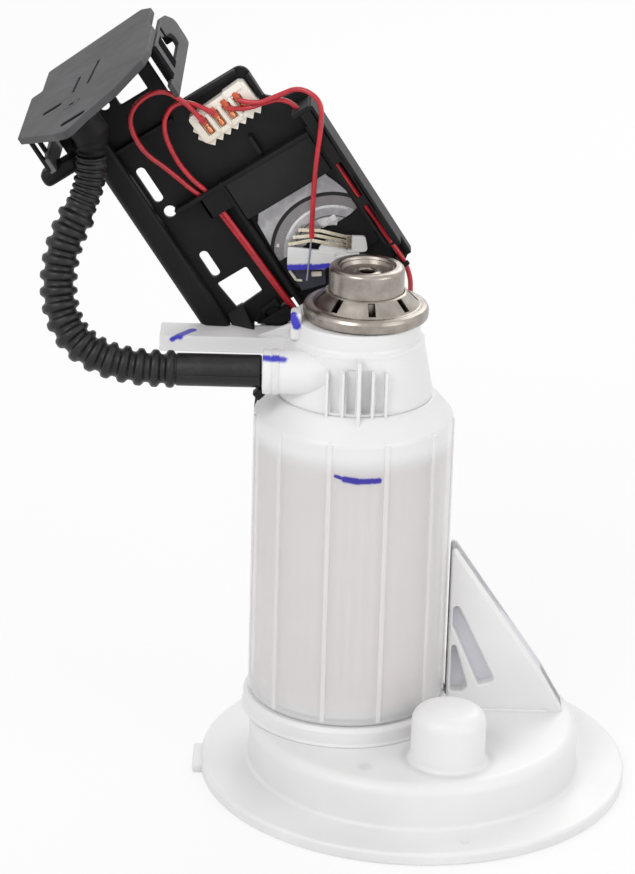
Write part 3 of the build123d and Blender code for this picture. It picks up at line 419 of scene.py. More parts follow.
class Finish(Nodes):
    """A material and its main shader."""

    def __init__(self, name, colour, roughness, **sockets):
        self.material = bpy.data.materials.new(name)
        super().__init__(self.material)
        self.shader = self.tree.nodes["Principled BSDF"]
        self.set("Base Color", colour)
        self.set("Roughness", roughness)
        for socket, value in sockets.items():
            self.set(socket.replace("_", " "), value)
        self.place_of = self.node("ShaderNodeTexCoord", {}, out="Object")

    def set(self, socket, value):
        self.put_in(self.shader.inputs[socket], value)

    def noise(self, scale, detail=3.0, roughness=0.5, vector=None):
        return self.node("ShaderNodeTexNoise", {}, Vector=vector or self.place_of, Scale=scale,
                         Detail=detail, Roughness=roughness)

    def stretched(self, x, y, z):
        """Object coordinates scaled along each axis, for streaks."""
        return self.node("ShaderNodeMapping", {}, Vector=self.place_of, Scale=(x, y, z))

    def axes(self):
        x = self.node("ShaderNodeSeparateXYZ", {}, self.place_of)
        return x, x.beside("Y"), x.beside("Z")

    def mix(self, factor, first, second):
        """A colour between two, by a factor."""
        spare = [None] * 5
        return self.node("ShaderNodeMix", {"data_type": "RGBA"}, factor, *spare, first, second, out=2)

    def bump(self, height, distance):
        self.set("Normal", self.node("ShaderNodeBump", {}, Strength=1.0, Distance=distance,
                                     Height=height, out="Normal"))

    def follow(self, pattern, span, low, high, gloss, height, depth):
        """Two shades, a gloss and a relief that follow a pattern."""
        self.set("Base Color", self.mix(pattern.between(*span), low, high))
        self.set("Roughness", pattern * gloss[0] + gloss[1])
        self.bump(height, depth * MM)
        return self.material

    def far_from_line(self, start, end):
        """Distance, in millimetres, from the straight line between two points."""
        x, y, z = self.axes()
        first, span = Vector(start), Vector(end) - Vector(start)
        px, py, pz = x * 1000 - first.x, y * 1000 - first.y, z * 1000 - first.z
        part = (px * span.x + py * span.y + pz * span.z) / span.length_squared
        part = part.most(0.0).least(1.0)
        dx, dy, dz = px - part * span.x, py - part * span.y, pz - part * span.z
        return (dx * dx + dy * dy + dz * dz) ** 0.5

    def strokes_at(self, strokes):
        """Where brush strokes of marking paint lie: each a start, an end and a half width."""
        edge = self.noise(900, 2) * 0.7
        cover = None
        for start, end, half in strokes:
            mask = 1 - (self.far_from_line(start, end) + edge).between(half * 0.7, half * 1.25)
            cover = mask if cover is None else cover.most(mask)
        return cover


# ------------------------ finishes
BLUE_PAINT, BLUE_PAINT_ON_CAN = (0.045, 0.04, 0.52), (0.03, 0.02, 0.34)


def moulded(name, low, high, roughness, cloud=9.0, grain=1800.0, pit=0.012, strokes=(), **sockets):
    """Moulded plastic: two shades in a faint cloud, uneven gloss and a fine grain."""
    finish = Finish(name, high, roughness, **sockets)
    shade = finish.mix(finish.noise(cloud, 4).between(0.35, 0.65), low, high)
    if strokes:
        shade = finish.mix(finish.strokes_at(strokes), shade, BLUE_PAINT)
    finish.set("Base Color", shade)
    finish.set("Roughness", finish.noise(cloud * 6, 3) * 0.18 + (roughness - 0.09))
    finish.bump(finish.noise(grain, 2) + finish.noise(grain / 12, 2) * 2, pit * MM)
    return finish.material


def white(name, strokes=(), **sockets):
    """White acetal, a little milky at its edges."""
    return moulded(name, (0.77, 0.765, 0.765), (0.83, 0.825, 0.825), 0.42, 14, 2400, 0.008, strokes,
                   Subsurface_Weight=0.15, Subsurface_Scale=0.004,
                   Subsurface_Radius=(1.0, 0.95, 0.9), **sockets)


def tray_axes(finish):
    """Distances across and along the tray, in millimetres."""
    x, y, z = finish.axes()
    px, pz = x * 1000 - HINGE[0], z * 1000 - HINGE[2]
    return px * cos(LEAN) + pz * sin(LEAN), pz * cos(LEAN) - px * sin(LEAN)


def can_finish():
    """Cloudy can wall, whiter and denser at its ribs, foot and shoulder."""
    strokes = [((-29.2, -27.0, 117.0), (-26.4, -27.4, 116.1), 1.1),
               ((-26.4, -27.4, 116.1), (-21.9, -27.4, 115.4), 1.6),
               ((-21.9, -27.4, 115.4), (-15.0, -26.3, 115.5), 1.45)]
    finish = Finish("can_wall", (0.8, 0.78, 0.78), 0.32, Alpha=0.5)
    x, y, z = finish.axes()
    band = z.between(0.0305, 0.0335) * (1 - z.between(0.1165, 0.1215))
    shade = finish.mix(band, (0.93, 0.93, 0.935), (0.92, 0.89, 0.885))
    shade = finish.mix(finish.noise(22, 4).between(0.4, 0.7) * 0.5, shade, (0.94, 0.92, 0.915))
    marked = finish.strokes_at(strokes)
    finish.set("Base Color", finish.mix(marked, shade, BLUE_PAINT_ON_CAN))
    finish.set("Alpha", (marked * 0.4 + z.between(0.117, 0.124) * 0.25 + 0.56).least(1.0))
    finish.set("Roughness", finish.noise(60, 3) * 0.2 + 0.24)
    drawn = finish.noise(1.0, 3, 0.5, finish.stretched(420, 420, 14))
    finish.bump(drawn + finish.noise(1500, 2) * 0.3, 0.03 * MM)
    return finish.material


def paper_finish():
    """Filter paper with its fibres."""
    finish = Finish("filter_paper", (0.78, 0.66, 0.63), 0.9)
    fibre = finish.noise(1.0, 4, 0.6, finish.stretched(900, 900, 300))
    finish.set("Base Color", finish.mix(fibre, (0.70, 0.58, 0.55), (0.84, 0.73, 0.70)))
    finish.set("Roughness", fibre * 0.2 + 0.75)
    finish.bump(fibre, 0.05 * MM)
    return finish.material


def turned_steel(name, x, y, low=(0.32, 0.288, 0.255), high=(0.47, 0.428, 0.385), pitch=0.16):
    """Drawn stainless steel with fine rings about an upright axis and a few scuffs."""
    finish = Finish(name, high, 0.3, Metallic=1.0)
    px, py, pz = finish.axes()
    dx, dy = px * 1000 - x, py * 1000 - y
    out = (dx * dx + dy * dy) ** 0.5
    rings = ((out + pz * 1000) * (2 * pi / pitch)).sine() * 0.5 + 0.5
    scuff = finish.noise(180, 5, 0.65)
    shade = finish.mix(scuff.between(0.3, 0.75), low, high)
    finish.set("Base Color", finish.mix(finish.noise(30, 3).between(0.4, 0.8) * 0.35, shade,
                                        (0.24, 0.20, 0.17)))
    finish.set("Roughness", scuff * 0.25 + rings * 0.06 + 0.16)
    finish.bump(rings + scuff * 0.5, 0.006 * MM)
    return finish.material


def plain_metal(name, low, high, roughness=0.3):
    """Bare metal with a few scuffs."""
    finish = Finish(name, high, roughness, Metallic=1.0)
    scuff = finish.noise(350, 5, 0.6)
    return finish.follow(scuff, (0.3, 0.7), low, high, (0.3, roughness - 0.12), scuff, 0.01)


def hose_finish():
    """Black nylon-rubber hose: satin, a little dusty between its ribs."""
    finish = Finish("hose_black", (0.010, 0.010, 0.011), 0.42, Specular_IOR_Level=0.4)
    dust = finish.noise(260, 4, 0.6)
    return finish.follow(dust, (0.45, 0.8), (0.0075, 0.0075, 0.0085), (0.022, 0.022, 0.024),
                          (0.3, 0.28), finish.noise(1500, 3), 0.02)


def wire_finish(name, colour):
    """Insulation, a little smeared."""
    finish = Finish(name, colour, 0.36, Coat_Weight=0.25, Coat_Roughness=0.2)
    smear = finish.noise(240, 3)
    return finish.follow(smear, (0.35, 0.75), tuple(0.72 * c for c in colour), colour,
                          (0.2, 0.28), finish.noise(1400, 2), 0.012)


def board_finish():
    """Grey ceramic board with its dark printed resistor arc and silver pads."""
    finish = Finish("board_ceramic", (0.5, 0.5, 0.52), 0.35, Metallic=0.35)
    a, b = tray_axes(finish)
    da, db = a - PIVOT[0], b - PIVOT[1]
    out = (da * da + db * db) ** 0.5

    def ring(inner, outer, blur):
        return out.between(inner, inner + blur) * (1 - out.between(outer, outer + blur))

    dark, line, worn = ring(19.6, 20.9, 0.2), ring(12.4, 12.8, 0.1), ring(16.3, 19.6, 0.3)
    teeth = ((da / out) * 130).sine().between(-0.2, 0.2) * ring(16.4, 19.8, 0.1)
    shade = finish.mix(finish.noise(300, 4).between(0.35, 0.7), (0.37, 0.36, 0.38), (0.50, 0.49, 0.51))
    shade = finish.mix(worn * 0.75, shade, (0.20, 0.18, 0.18))
    shade = finish.mix(teeth * 0.12, shade, (0.12, 0.11, 0.11))
    shade = finish.mix(line, shade, (0.10, 0.095, 0.09))
    finish.set("Base Color", finish.mix(dark, shade, (0.008, 0.007, 0.007)))
    finish.set("Roughness", finish.noise(500, 3) * 0.3 + 0.2)
    finish.bump(dark + line + teeth, 0.02 * MM)
    return finish.material


def foam_finish():
    """Closed-cell foam with fine pores."""
    finish = Finish("float_foam", (0.02, 0.02, 0.02), 0.85)
    pores = finish.node("ShaderNodeTexVoronoi", {"feature": "F1"}, Vector=finish.place_of, Scale=1500.0)
    return finish.follow(pores, (0.1, 0.6), (0.008, 0.008, 0.008), (0.03, 0.03, 0.031),
                          (0.2, 0.7), pores, 0.12)


def in_front_of_tray(run):
    """Points given across, along and in front of the tray, in the module's millimetres."""
    return [tuple(on_tray(*point) / MM) for point in run]


hub_line = in_front_of_tray([(12.8, 13.6, 4.3), (19.8, 9.6, 4.3), (25.2, 7.0, 4.3)])
COVER_WHITE = white("white_moulding")
# the white moulding made darker and bluish: painted shade on the floor of the fin's pockets
POCKET_SHADE_WHITE = moulded("pocket_white_painted_shade", (0.73, 0.73, 0.79), (0.78, 0.78, 0.83), 0.45, 30)
HEAD_WHITE = white("head_white", [
    ((-84.8, 18.3, 146.2), (-82.4, 19.0, 147.6), 1.2), ((-82.4, 19.0, 147.6), (-78.2, 24.8, 147.6), 1.8),
    ((-44.4, -3.4, 163.4), (-43.2, -4.2, 160.4), 1.9)])
CLIP_WHITE = white("clip_white", [((-54.6, -13.6, 152.9), (-47.0, -13.9, 152.7), 2.0)])
HUB_WHITE = white("hub_white", [(hub_line[0], hub_line[1], 1.75), (hub_line[1], hub_line[2], 1.4)])
CAN_CLOUDY = can_finish()
PAPER = paper_finish()
ELEMENT_PLASTIC = moulded("element_plastic", (0.60, 0.57, 0.55), (0.70, 0.67, 0.65), 0.5)
BLACK = moulded("black_moulding", (0.0045, 0.0046, 0.005), (0.0095, 0.0096, 0.0105), 0.52, 30, 1500,
                0.02, Specular_IOR_Level=0.22)
DARK_CARRIER = moulded("dark_carrier", (0.009, 0.009, 0.010), (0.016, 0.016, 0.017), 0.5, 40, 1800,
                       0.02, Specular_IOR_Level=0.22)
GREY = moulded("grey_moulding", (0.044, 0.044, 0.047), (0.066, 0.065, 0.069), 0.62, 26, 1600, 0.03,
               Specular_IOR_Level=0.4)
STEEL = turned_steel("regulator_steel", REG_X, CAN_Y)
PLAIN_STEEL = plain_metal("plain_steel", (0.42, 0.42, 0.43), (0.62, 0.62, 0.63))
SEAL = moulded("seal_rubber", (0.008, 0.008, 0.008), (0.016, 0.016, 0.016), 0.6)
HOSE = hose_finish()
RED = wire_finish("wire_red", (0.60, 0.016, 0.03))
ORANGE = wire_finish("crimp_sleeve", (0.72, 0.10, 0.03))
GREY_WIRE = wire_finish("lead_grey", (0.34, 0.36, 0.46))
IVORY = moulded("ivory_plug", (0.82, 0.75, 0.64), (0.90, 0.86, 0.77), 0.4, 60)
BRASS = plain_metal("terminal_brass", (0.55, 0.36, 0.16), (0.80, 0.60, 0.32), 0.28)
COPPER = plain_metal("crimp_copper", (0.62, 0.19, 0.08), (0.85, 0.36, 0.18), 0.3)
# flat black with almost no gloss: painted shade, used for the right guard's bars and liners and in the foot
# plate's slots, where there is only shade
PAINTED_SHADE = moulded("painted_shade_black", (0.006, 0.006, 0.007), (0.012, 0.012, 0.013), 0.9, Specular_IOR_Level=0.02)
# the foot's grey moulding painted paler: painted light on the left band, whose face is turned from the lamps
LIT_BAND_GREY = moulded("band_grey_painted_light", (0.13, 0.13, 0.135), (0.17, 0.168, 0.175), 0.62, 26, 1600, 0.03)
SLATE = moulded("apron_slate", (0.035, 0.036, 0.055), (0.07, 0.07, 0.095), 0.4)
BOARD = board_finish()
SILVER = moulded("track_silver", (0.62, 0.62, 0.64), (0.78, 0.78, 0.80), 0.3, 200, Metallic=0.3)
FINGER = plain_metal("finger_metal", (0.62, 0.54, 0.40), (0.84, 0.79, 0.66), 0.24)
FOAM = foam_finish()

# ------------------------ cover
cover = turned([(0, RECESS_TOP), (RECESS_R, RECESS_TOP, 1.2), (RECESS_R, 0, 0.4), (FLANGE_R, 0, 0.7),
                (FLANGE_R, FLANGE_T, 1.3), (PLINTH_R, FLANGE_T, 1.6), (PLINTH_R, PLINTH_TOP, 4.2),
                (0, PLINTH_TOP)], sides=192, steps=6)
tab = block(-75.1, -69.5, -10.5, 6.0, 0, 3.5, 0.8, 3)
boss = turned([(0, BOSS_TOP), (BOSS_R, BOSS_TOP, 4.8), (BOSS_R, PLINTH_TOP, 2.6),
               (BOSS_R + 3.4, PLINTH_TOP - 0.05, 0.2), (BOSS_R + 3.4, PLINTH_TOP - 1), (0, PLINTH_TOP - 1)],
              BOSS_X, BOSS_Y, 96, steps=6)
cover = join(cover, tab, boss, stud(-16.7, -42.5, PLINTH_TOP - 0.2, PLINTH_TOP + 0.12, 2.4, 32),
             stud(16.3, -63.1, FLANGE_T - 0.2, FLANGE_T + 0.3, 1.2, 24))
put(cover, "cover_body", UPRIGHT, "cover", COVER_WHITE,
    "cover_flange", "cover_plinth", "cover_boss", angle=30)

# stiffening fin with its two pockets, whose floor is a skin of its own, painted a darker, bluish white as
# painted shade in the pockets
FIN_X, FIN_BACK, FIN_FLOOR, FIN_FACE = 10.9, -17.0, -7.5, -3.0
POCKET_X = FIN_X + 1.2
outline = [(FIN_X, 19.6), (FIN_X, 80.4, 1.2), (43.5, 33.0, 8), (51.2, 19.6)]
outer = [(POCKET_X, 62.6, 1.2), (27.4, 31.2, 1.5), (21.8, 29.4, 1.0), (POCKET_X, 51.6, 0.8)]
inner = [(POCKET_X, 48.8, 0.8), (18.0, 28.9, 1.0), (16.2, 27.0, 1.0), (POCKET_X, 27.0, 1.0)]
walls = cut_sheet([outline, outer, inner], FIN_BACK + 1.6, FIN_FACE, 0.7, 3)
skin = cut_sheet([outline], FIN_BACK, FIN_FLOOR, 0.7, 3)
foot_bead = block(14, 46, PLINTH_TOP - 0.6, PLINTH_TOP + 0.9, FIN_FACE - 0.4, FIN_FACE + 0.8, 0.5, 3)
put(join(walls, foot_bead), "cover_fin_body", WALL, "cover", COVER_WHITE, "cover_fin", angle=30)
put(skin, "cover_fin_skin", WALL, "cover", POCKET_SHADE_WHITE, "cover_fin", slot="white_moulding", angle=30)

# ------------------------ can
seat = turned([(27.2, 20.2), (35.6, 20.2, 0.3), (34.9, 21.4, 0.6), (34.9, 25.4, 0.9), (33.7, 26.6, 0.5),
               (27.2, 26.6)], CAN_X, CAN_Y, 160, True)
put(seat, "can_seat", UPRIGHT, "cover", COVER_WHITE, "can_seat_ring")

can = turned([(0, CAN_BASE), (CAN_R, CAN_BASE, 1.8), (CAN_R, SHOULDER_Z, 3.0), (26.6, HEAD_Z, 0.8),
              (22.8, HEAD_Z), (22.8, HEAD_Z - 1.8), (25.0, HEAD_Z - 1.8, 0.8),
              (31.4, SHOULDER_Z - 0.8, 2.0), (31.4, CAN_BASE + CAN_WALL, 1.0), (0, CAN_BASE + CAN_WALL)],
             sides=176, steps=5)
rib = block(-0.85, 0.85, -CAN_R - 0.45, -CAN_R + 0.3, CAN_BASE + 1.4, SHOULDER_Z + 0.2, 0.35, 3)
cap = block(-0.85, 0.85, -CAN_R + 0.5, -CAN_R + 2.0, SHOULDER_Z - 1.8, SHOULDER_Z + 1.0, 0.35, 3)
ribs = copies(join(rib, cap), RIB_COUNT)
for i, rib in enumerate(ribs):
    turn_about(rib, FIRST_RIB + i * 360 / RIB_COUNT)
can = join(can, *ribs)
can.location = (CAN_X, CAN_Y, 0)
put(can, "can_shell", UPRIGHT, "cover", CAN_CLOUDY, "filter_can", angle=30)

# ------------------------ head of the can
neck = turned([(18.6, HEAD_Z), (NECK_R0, HEAD_Z, 0.4), (NECK_R0, HEAD_Z + 1.6, 0.8),
               (NECK_R1 + 0.2, COLLAR_Z - 1.6, 0.5), (NECK_R1 + 0.2, COLLAR_Z - 0.4, 0.2),
               (COLLAR_R + 0.5, COLLAR_Z + 0.2, 0.3), (COLLAR_R, COLLAR_Z + 1.2, 0.3),
               (COLLAR_R, COLLAR_TOP - 0.05, 0.7),
               (15.4, COLLAR_TOP - 0.05, 0.3), (15.4, COLLAR_Z - 1.5), (5.0, COLLAR_Z - 1.5),
               (5.0, COLLAR_Z - 3), (12.0, COLLAR_Z - 3), (18.6, COLLAR_Z - 6)], CAN_X, CAN_Y, 160, True)
slots = [block(x - 1.45, x + 1.45, CAN_Y - 28, CAN_Y - 22.5, HEAD_Z + 0.9, HEAD_Z + 15.5, 0.5)
         for x in (-30.2, -24.9, -20.1, -15.6)]
neck = cut_away(neck, *slots)
stiffeners = [block(x, x + 1.0, front, back, HEAD_Z - 0.4, HEAD_Z + rise, 0.35)
              for x, front, back, rise in ((-33.3, -19.6, -15.4, 15.0), (-28.1, -20.6, -16.4, 15.4),
                                           (-18.4, -20.6, -16.4, 15.4), (-14.0, -19.2, -15.4, 15.0))]
stiffeners.append(block(-23.1, -21.8, -22.6, -16.6, HEAD_Z - 3.6, HEAD_Z + 19.6))
lug = block(-45.2, -41.6, -4.2, 3.0, 155.0, 164.4, 1.0, 3)
arm = block(-89.0, -31.6, ARM_Y0, ARM_Y1, ARM_TOP - ARM_H, ARM_TOP, 0.5, 3)
hollow = block(-92.0, -53.6, ARM_Y0 + ARM_WALL, ARM_Y1 - ARM_WALL, ARM_TOP - ARM_H + ARM_WALL,
               ARM_TOP - ARM_WALL, 0.3)
arm = cut_away(arm, hollow)
web = block(-56.0, -45.0, 30.0, 44.1, 141.5, 145.0, 0.5)
ear_block = block(-55.5, -45.5, 39.1, 44.1, 142.7, 150.0, 0.5)
head = join(neck, *stiffeners, lug, arm, web, ear_block)
put(head, "head_neck", UPRIGHT, "cover", HEAD_WHITE, "can_head", slot="white_moulding", angle=30)

ear = ring_on_pin(5.0, -10.1, -5.1)
put(ear, "head_hinge_ear", TRAY, "cover", HEAD_WHITE, "can_head", slot="white_moulding")

gusset = cut_sheet([[(-57.5, 147.2), (-44.6, 152.4, 2.0), (-42.4, 155.6, 1.0), (-38.0, 155.6),
                     (-38.0, 147.2)]], -22.4, -20.4, 0.4)
put(gusset, "head_gusset", WALL, "cover", HEAD_WHITE, "can_head", slot="white_moulding")

nozzle = turned([(4.0, -30.0), (NOZZLE_R, -30.0), (NOZZLE_R, -51.2, 0.3), (NOZZLE_R + 0.2, -51.6, 0.2),
                 (NOZZLE_R + 0.2, -53.8, 0.4), (5.5, -54.0, 0.3), (5.5, -42.0), (4.0, -42.0)],
                NOZZLE_Y, NOZZLE_Z, 96, True)
put(nozzle, "head_nozzle", ACROSS_NOZZLE, "cover", CLIP_WHITE, "can_head", slot="white_moulding")

clip = turned([(NOZZLE_R + 0.03, -50.7), (NOZZLE_R + 0.35, -50.7, 0.2), (NOZZLE_R + 0.35, -48.5, 0.2),
               (NOZZLE_R + 0.03, -48.5)], NOZZLE_Y, NOZZLE_Z, 96, True)
put(clip, "hose_clip_ring", ACROSS_NOZZLE, "cover", CLIP_WHITE, "hose_clip", slot="white_moulding")
barb = turn_about(block(-1.5, 1.5, -2.0, 2.0, -1.5, 1.5, 0.3), 45, "Y")
barb.location = (-54.9, NOZZLE_Y - 1, NOZZLE_Z - NOZZLE_R)
put(barb, "hose_clip_barb", UPRIGHT, "cover", BLACK, "hose_clip")

# ------------------------ pressure regulator
hole, cone = CUP_R + 0.15, RIM_Z + 4.9
retainer = turned([
    (14.6, RIM_Z), (RIM_R - 1.4, RIM_Z, 0.5), (RIM_R - 0.2, RIM_Z + 0.7, 0.6), (RIM_R, RIM_Z + 1.8, 0.8),
    (RIM_R, RIM_Z + 3.4, 0.8), (RIM_R - 0.6, RIM_Z + 4.4, 0.5), (RIM_R - 1.6, cone, 0.5),
    (RIM_R - 3.0, cone - 0.15, 0.6), (hole + 0.9, cone + 3.9, 0.5), (hole, cone + 4.5, 0.15),
    (hole, cone + 3.8, 0.2), (RIM_R - 3.4, cone - 0.9, 0.4), (RIM_R - 1.8, cone - 0.7, 0.3),
    (RIM_R - 1.1, RIM_Z + 3.2, 0.3), (RIM_R - 1.1, RIM_Z + 1.6, 0.3), (RIM_R - 1.9, RIM_Z + 0.8, 0.2),
    (14.6, RIM_Z + 0.8)], 0, 0, 160, True, 4)
SLOT_COUNT, FIRST_SLOT, CONE_LEAN = 8, 6.6, 43.0
slots = copies(turn_about(block(-2.5, 2.5, -1.2, 1.2, -3.2, 3.2, 0), CONE_LEAN, "Y"), SLOT_COUNT)
for i, slot in enumerate(slots):
    slot.location = (hole + 2.6, 0, cone + 2.1)
    turn_about(slot, FIRST_SLOT + i * 360 / SLOT_COUNT)
retainer = cut_away(retainer, *slots)
retainer.location = (REG_X, CAN_Y, 0)
put(retainer, "regulator_collar", UPRIGHT, "cover", STEEL, "regulator_retainer", angle=30)

cup = turned([
    (11.5, RIM_Z + 0.8), (14.4, RIM_Z + 0.8), (14.4, RIM_Z + 1.6), (CUP_R, RIM_Z + 1.9, 0.5),
    (CUP_R, CUP_TOP, 1.8), (9.2, CUP_TOP, 0.8), (8.3, CUP_TOP - 2.2, 0.7), (4.6, CUP_TOP - 2.4, 0.4),
    (3.4, CUP_TOP - 1.9, 0.3), (2.6, CUP_TOP - 2.2, 0.3), (2.6, CUP_TOP - 3.1), (7.5, CUP_TOP - 3.2, 0.4),
    (8.4, CUP_TOP - 0.9, 0.4), (11.5, CUP_TOP - 0.9, 0.6)], REG_X, CAN_Y, 144, True, 5)
put(cup, "regulator_drawn_cup", UPRIGHT, "cover", STEEL, "regulator_cup", angle=30)


# ------------------------ hose and wires
def route_line(name, points, radius=0.0):
    """A smooth line on a route's points, given in millimetres."""
    line = bpy.data.curves.new(name, "CURVE")
    line.dimensions = "3D"
    spline = line.splines.new("NURBS")
    spline.points.add(len(points) - 1)
    for spot, point in zip(spline.points, points):
        spot.co = (*(Vector(point) * MM), 1)
    spline.order_u = 3
    spline.use_endpoint_u = True
    spline.resolution_u = 16
    line.resolution_u = 16
    line.bevel_depth = radius * MM
    line.bevel_resolution = 4
    line.use_fill_caps = radius > 0
    piece = bpy.data.objects.new(name, line)
    bpy.context.scene.collection.objects.link(piece)
    bpy.context.view_layer.update()
    return piece


def line_points(line):
    """Points along a line that has no thickness yet."""
    mesh = bpy.data.meshes.new_from_object(line)
    points = [vertex.co.copy() for vertex in mesh.vertices]
    bpy.data.meshes.remove(mesh)
    return points


def length_of(points):
    """Length of a line through points."""
    return sum((b - a).length for a, b in zip(points, points[1:]))


def wire(name, points, node):
    """An insulated wire laid along its route, from one body to another."""
    line = route_line(name, points)
    path = line_points(line)
    line.data.bevel_depth = WIRE_R * MM
    line.data.use_fill_caps = True
    only(line)
    bpy.ops.object.convert(target="MESH")
    piece = close_seams(bpy.context.object, 0.000001)
    bpy.ops.object.shade_smooth_by_angle(angle=radians(50), keep_sharp_edges=True)
    dress(piece, name, RED, (node,))
    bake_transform(piece)


pair_drop = [(-43.6, 35.8, 148.6), (-41.8, 38.6, 138.5), (-36.6, 41.4, 125.5), (-27.5, 42.6, 106.0),
             (-16.5, 42.6, 80.0), (-9.6, 42.2, 55.0), (-7.8, 41.0, 37.0)]
front_run = [(17.0, 71.2, 6.3), (16.2, 84.0, 10.0), (9.0, 90.3, 10.5), (-2.6, 87.4, 10.0),
             (-5.6, 74.5, 7.6), (-1.9, 64.0, 5.8), (1.0, 51.6, 3.4), (3.4, 47.0, 2.4), (4.3, 38.0, 2.0),
             (5.3, 22.0, 2.0), (6.1, 7.0, 2.0), (6.3, -0.6, 0.4)]
back_run = [(21.6, 71.6, 6.3), (17.8, 79.4, 6.6), (11.0, 81.8, 6.0), (4.6, 77.4, 6.6),
            (2.2, 66.0, 6.2), (2.8, 56.0, 4.4), (4.8, 49.4, 3.4), (5.4, 40.0, 3.0),
            (6.3, 22.0, 3.0), (7.0, 7.0, 3.0), (7.3, -0.4, 1.4)]
sensor_run = [(30.8, 71.6, 6.3), (35.0, 67.4, 7.6), (43.0, 66.8, 9.5), (51.3, 66.2, 12.5),
              (55.2, 59.4, 15.6), (51.0, 52.4, 15.2), (42.2, 41.8, 13.0), (35.2, 32.2, 9.6),
              (30.6, 25.6, 7.4), (27.2, 20.8, 5.9), (26.0, 18.6, 5.6)]
side_run = [(26.2, 71.0, 6.3), (31.0, 67.5, 6.0), (38.0, 66.5, 7.0), (44.4, 64.4, 8.0),
            (46.6, 57.0, 7.6), (46.6, 44.0, 6.2), (46.8, 25.0, 5.6), (47.4, 7.0, 4.8), (47.9, -8.6, 4.6)]
side_drop = [(-5.6, 30.6, 158.0), (-5.0, 34.6, 146.0), (-3.8, 39.4, 133.0), (-1.6, 41.8, 110.0),
             (0.6, 42.2, 80.0), (2.2, 41.6, 52.0)]


def onto_terminal(x):
    """Last points of a wire, down to the terminal at x."""
    return [(x, 40.0, 30.2), (x, 40.0, 25.3)]


wire("wire_front_lead", in_front_of_tray(front_run) + pair_drop + onto_terminal(-7.5), "wire_front")
wire("wire_back_lead", in_front_of_tray(back_run) + [(x + 0.8, y + 2.3, z) for x, y, z in pair_drop]
     + onto_terminal(-2.5), "wire_back")
wire("wire_side_lead", in_front_of_tray(side_run) + side_drop + onto_terminal(2.5), "wire_side")
wire("wire_sensor_lead", in_front_of_tray(sensor_run), "wire_sensor")

hose_route = [(*HOSE_TOP, 211.9), (*HOSE_TOP, 203.5), (-114.8, 7.6, 194.0), (-119.4, 4.6, 184.5),
              (-121.4, 1.4, 174.0), (-120.6, -2.2, 163.5), (-116.2, -5.6, 154.6), (-107.6, -8.0, 149.0),
              (-96.0, -9.1, 146.3), (-83.5, -8.9, 145.8), (-70.0, -9.0, 146.0), (-54.2, -9.0, 146.0)]
hose_line = route_line("hose_line", hose_route)
hose_path = line_points(hose_line)
hose_length = length_of(hose_path) / MM
FINE_RIBS_TO, FINE_PITCH, RIB_PITCH, CUFF_LENGTH = 18.0, 2.8, 4.9, 28.0


def hose_section():
    """Half section of the hose laid out straight, from the jet pump's spigot to its plain cuff."""
    section = [(0, 0), (5.4, 0, 0.4)]
    at = 1.2
    while at < FINE_RIBS_TO:
        section += [(4.5, at, 0.4), (4.5, at + 0.7, 0.4), (5.2, at + 1.1, 0.5), (5.2, at + 2.2, 0.5)]
        at += FINE_PITCH
    cuff = hose_length - CUFF_LENGTH
    pitch = (cuff - at) / round((cuff - at) / RIB_PITCH)
    while at < cuff - 0.5 * pitch:
        section += [(4.75, at + 0.1, 0.7), (4.75, at + 0.3 * pitch, 0.9), (6.2, at + 0.46 * pitch, 1.0),
                    (6.2, at + 0.82 * pitch, 1.0)]
        at += pitch
    section += [(4.9, cuff, 0.5), (5.4, cuff + 0.5, 0.4), (5.4, hose_length - 0.5, 0.4),
                (5.0, hose_length), (0, hose_length)]
    return section


hose = turned(hose_section(), sides=40, steps=3)
seam = block(-0.45, 0.45, -5.75, -5.0, hose_length - 27.0, hose_length - 1.0, 0.2)
hose = join(hose, turn_about(seam, 30))
hose.matrix_world = UPRIGHT
settle(hose)
shape(hose, ("CURVE", dict(object=hose_line, deform_axis="POS_Z")))
bpy.ops.object.shade_smooth_by_angle(angle=radians(60), keep_sharp_edges=True)
bpy.data.objects.remove(hose_line)
dress(hose, "transfer_hose_body", HOSE, ("transfer_hose",))
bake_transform(hose)

# ------------------------ sender tray
def level_b(a, z):
    """How far along the tray a point across it at a lies at height z."""
    return (z - HINGE[2] - a * sin(LEAN)) / cos(LEAN)


def onto_tray(piece, drawn_in):
    """Turns a piece that is drawn in another frame into the tray's own directions."""
    piece.matrix_world = TRAY.inverted() @ drawn_in
    return settle(piece)


def trim(piece, a, z):
    """Cuts a piece of the tray off level, where it would stand on the arm."""
    only(piece)
    bpy.ops.object.mode_set(mode="EDIT")
    bpy.ops.mesh.select_all(action="SELECT")
    bpy.ops.mesh.bisect(plane_co=(a, level_b(a, z), 0), plane_no=(-sin(LEAN), -cos(LEAN), 0),
                        use_fill=True, clear_outer=True)
    bpy.ops.object.mode_set(mode="OBJECT")
    return piece


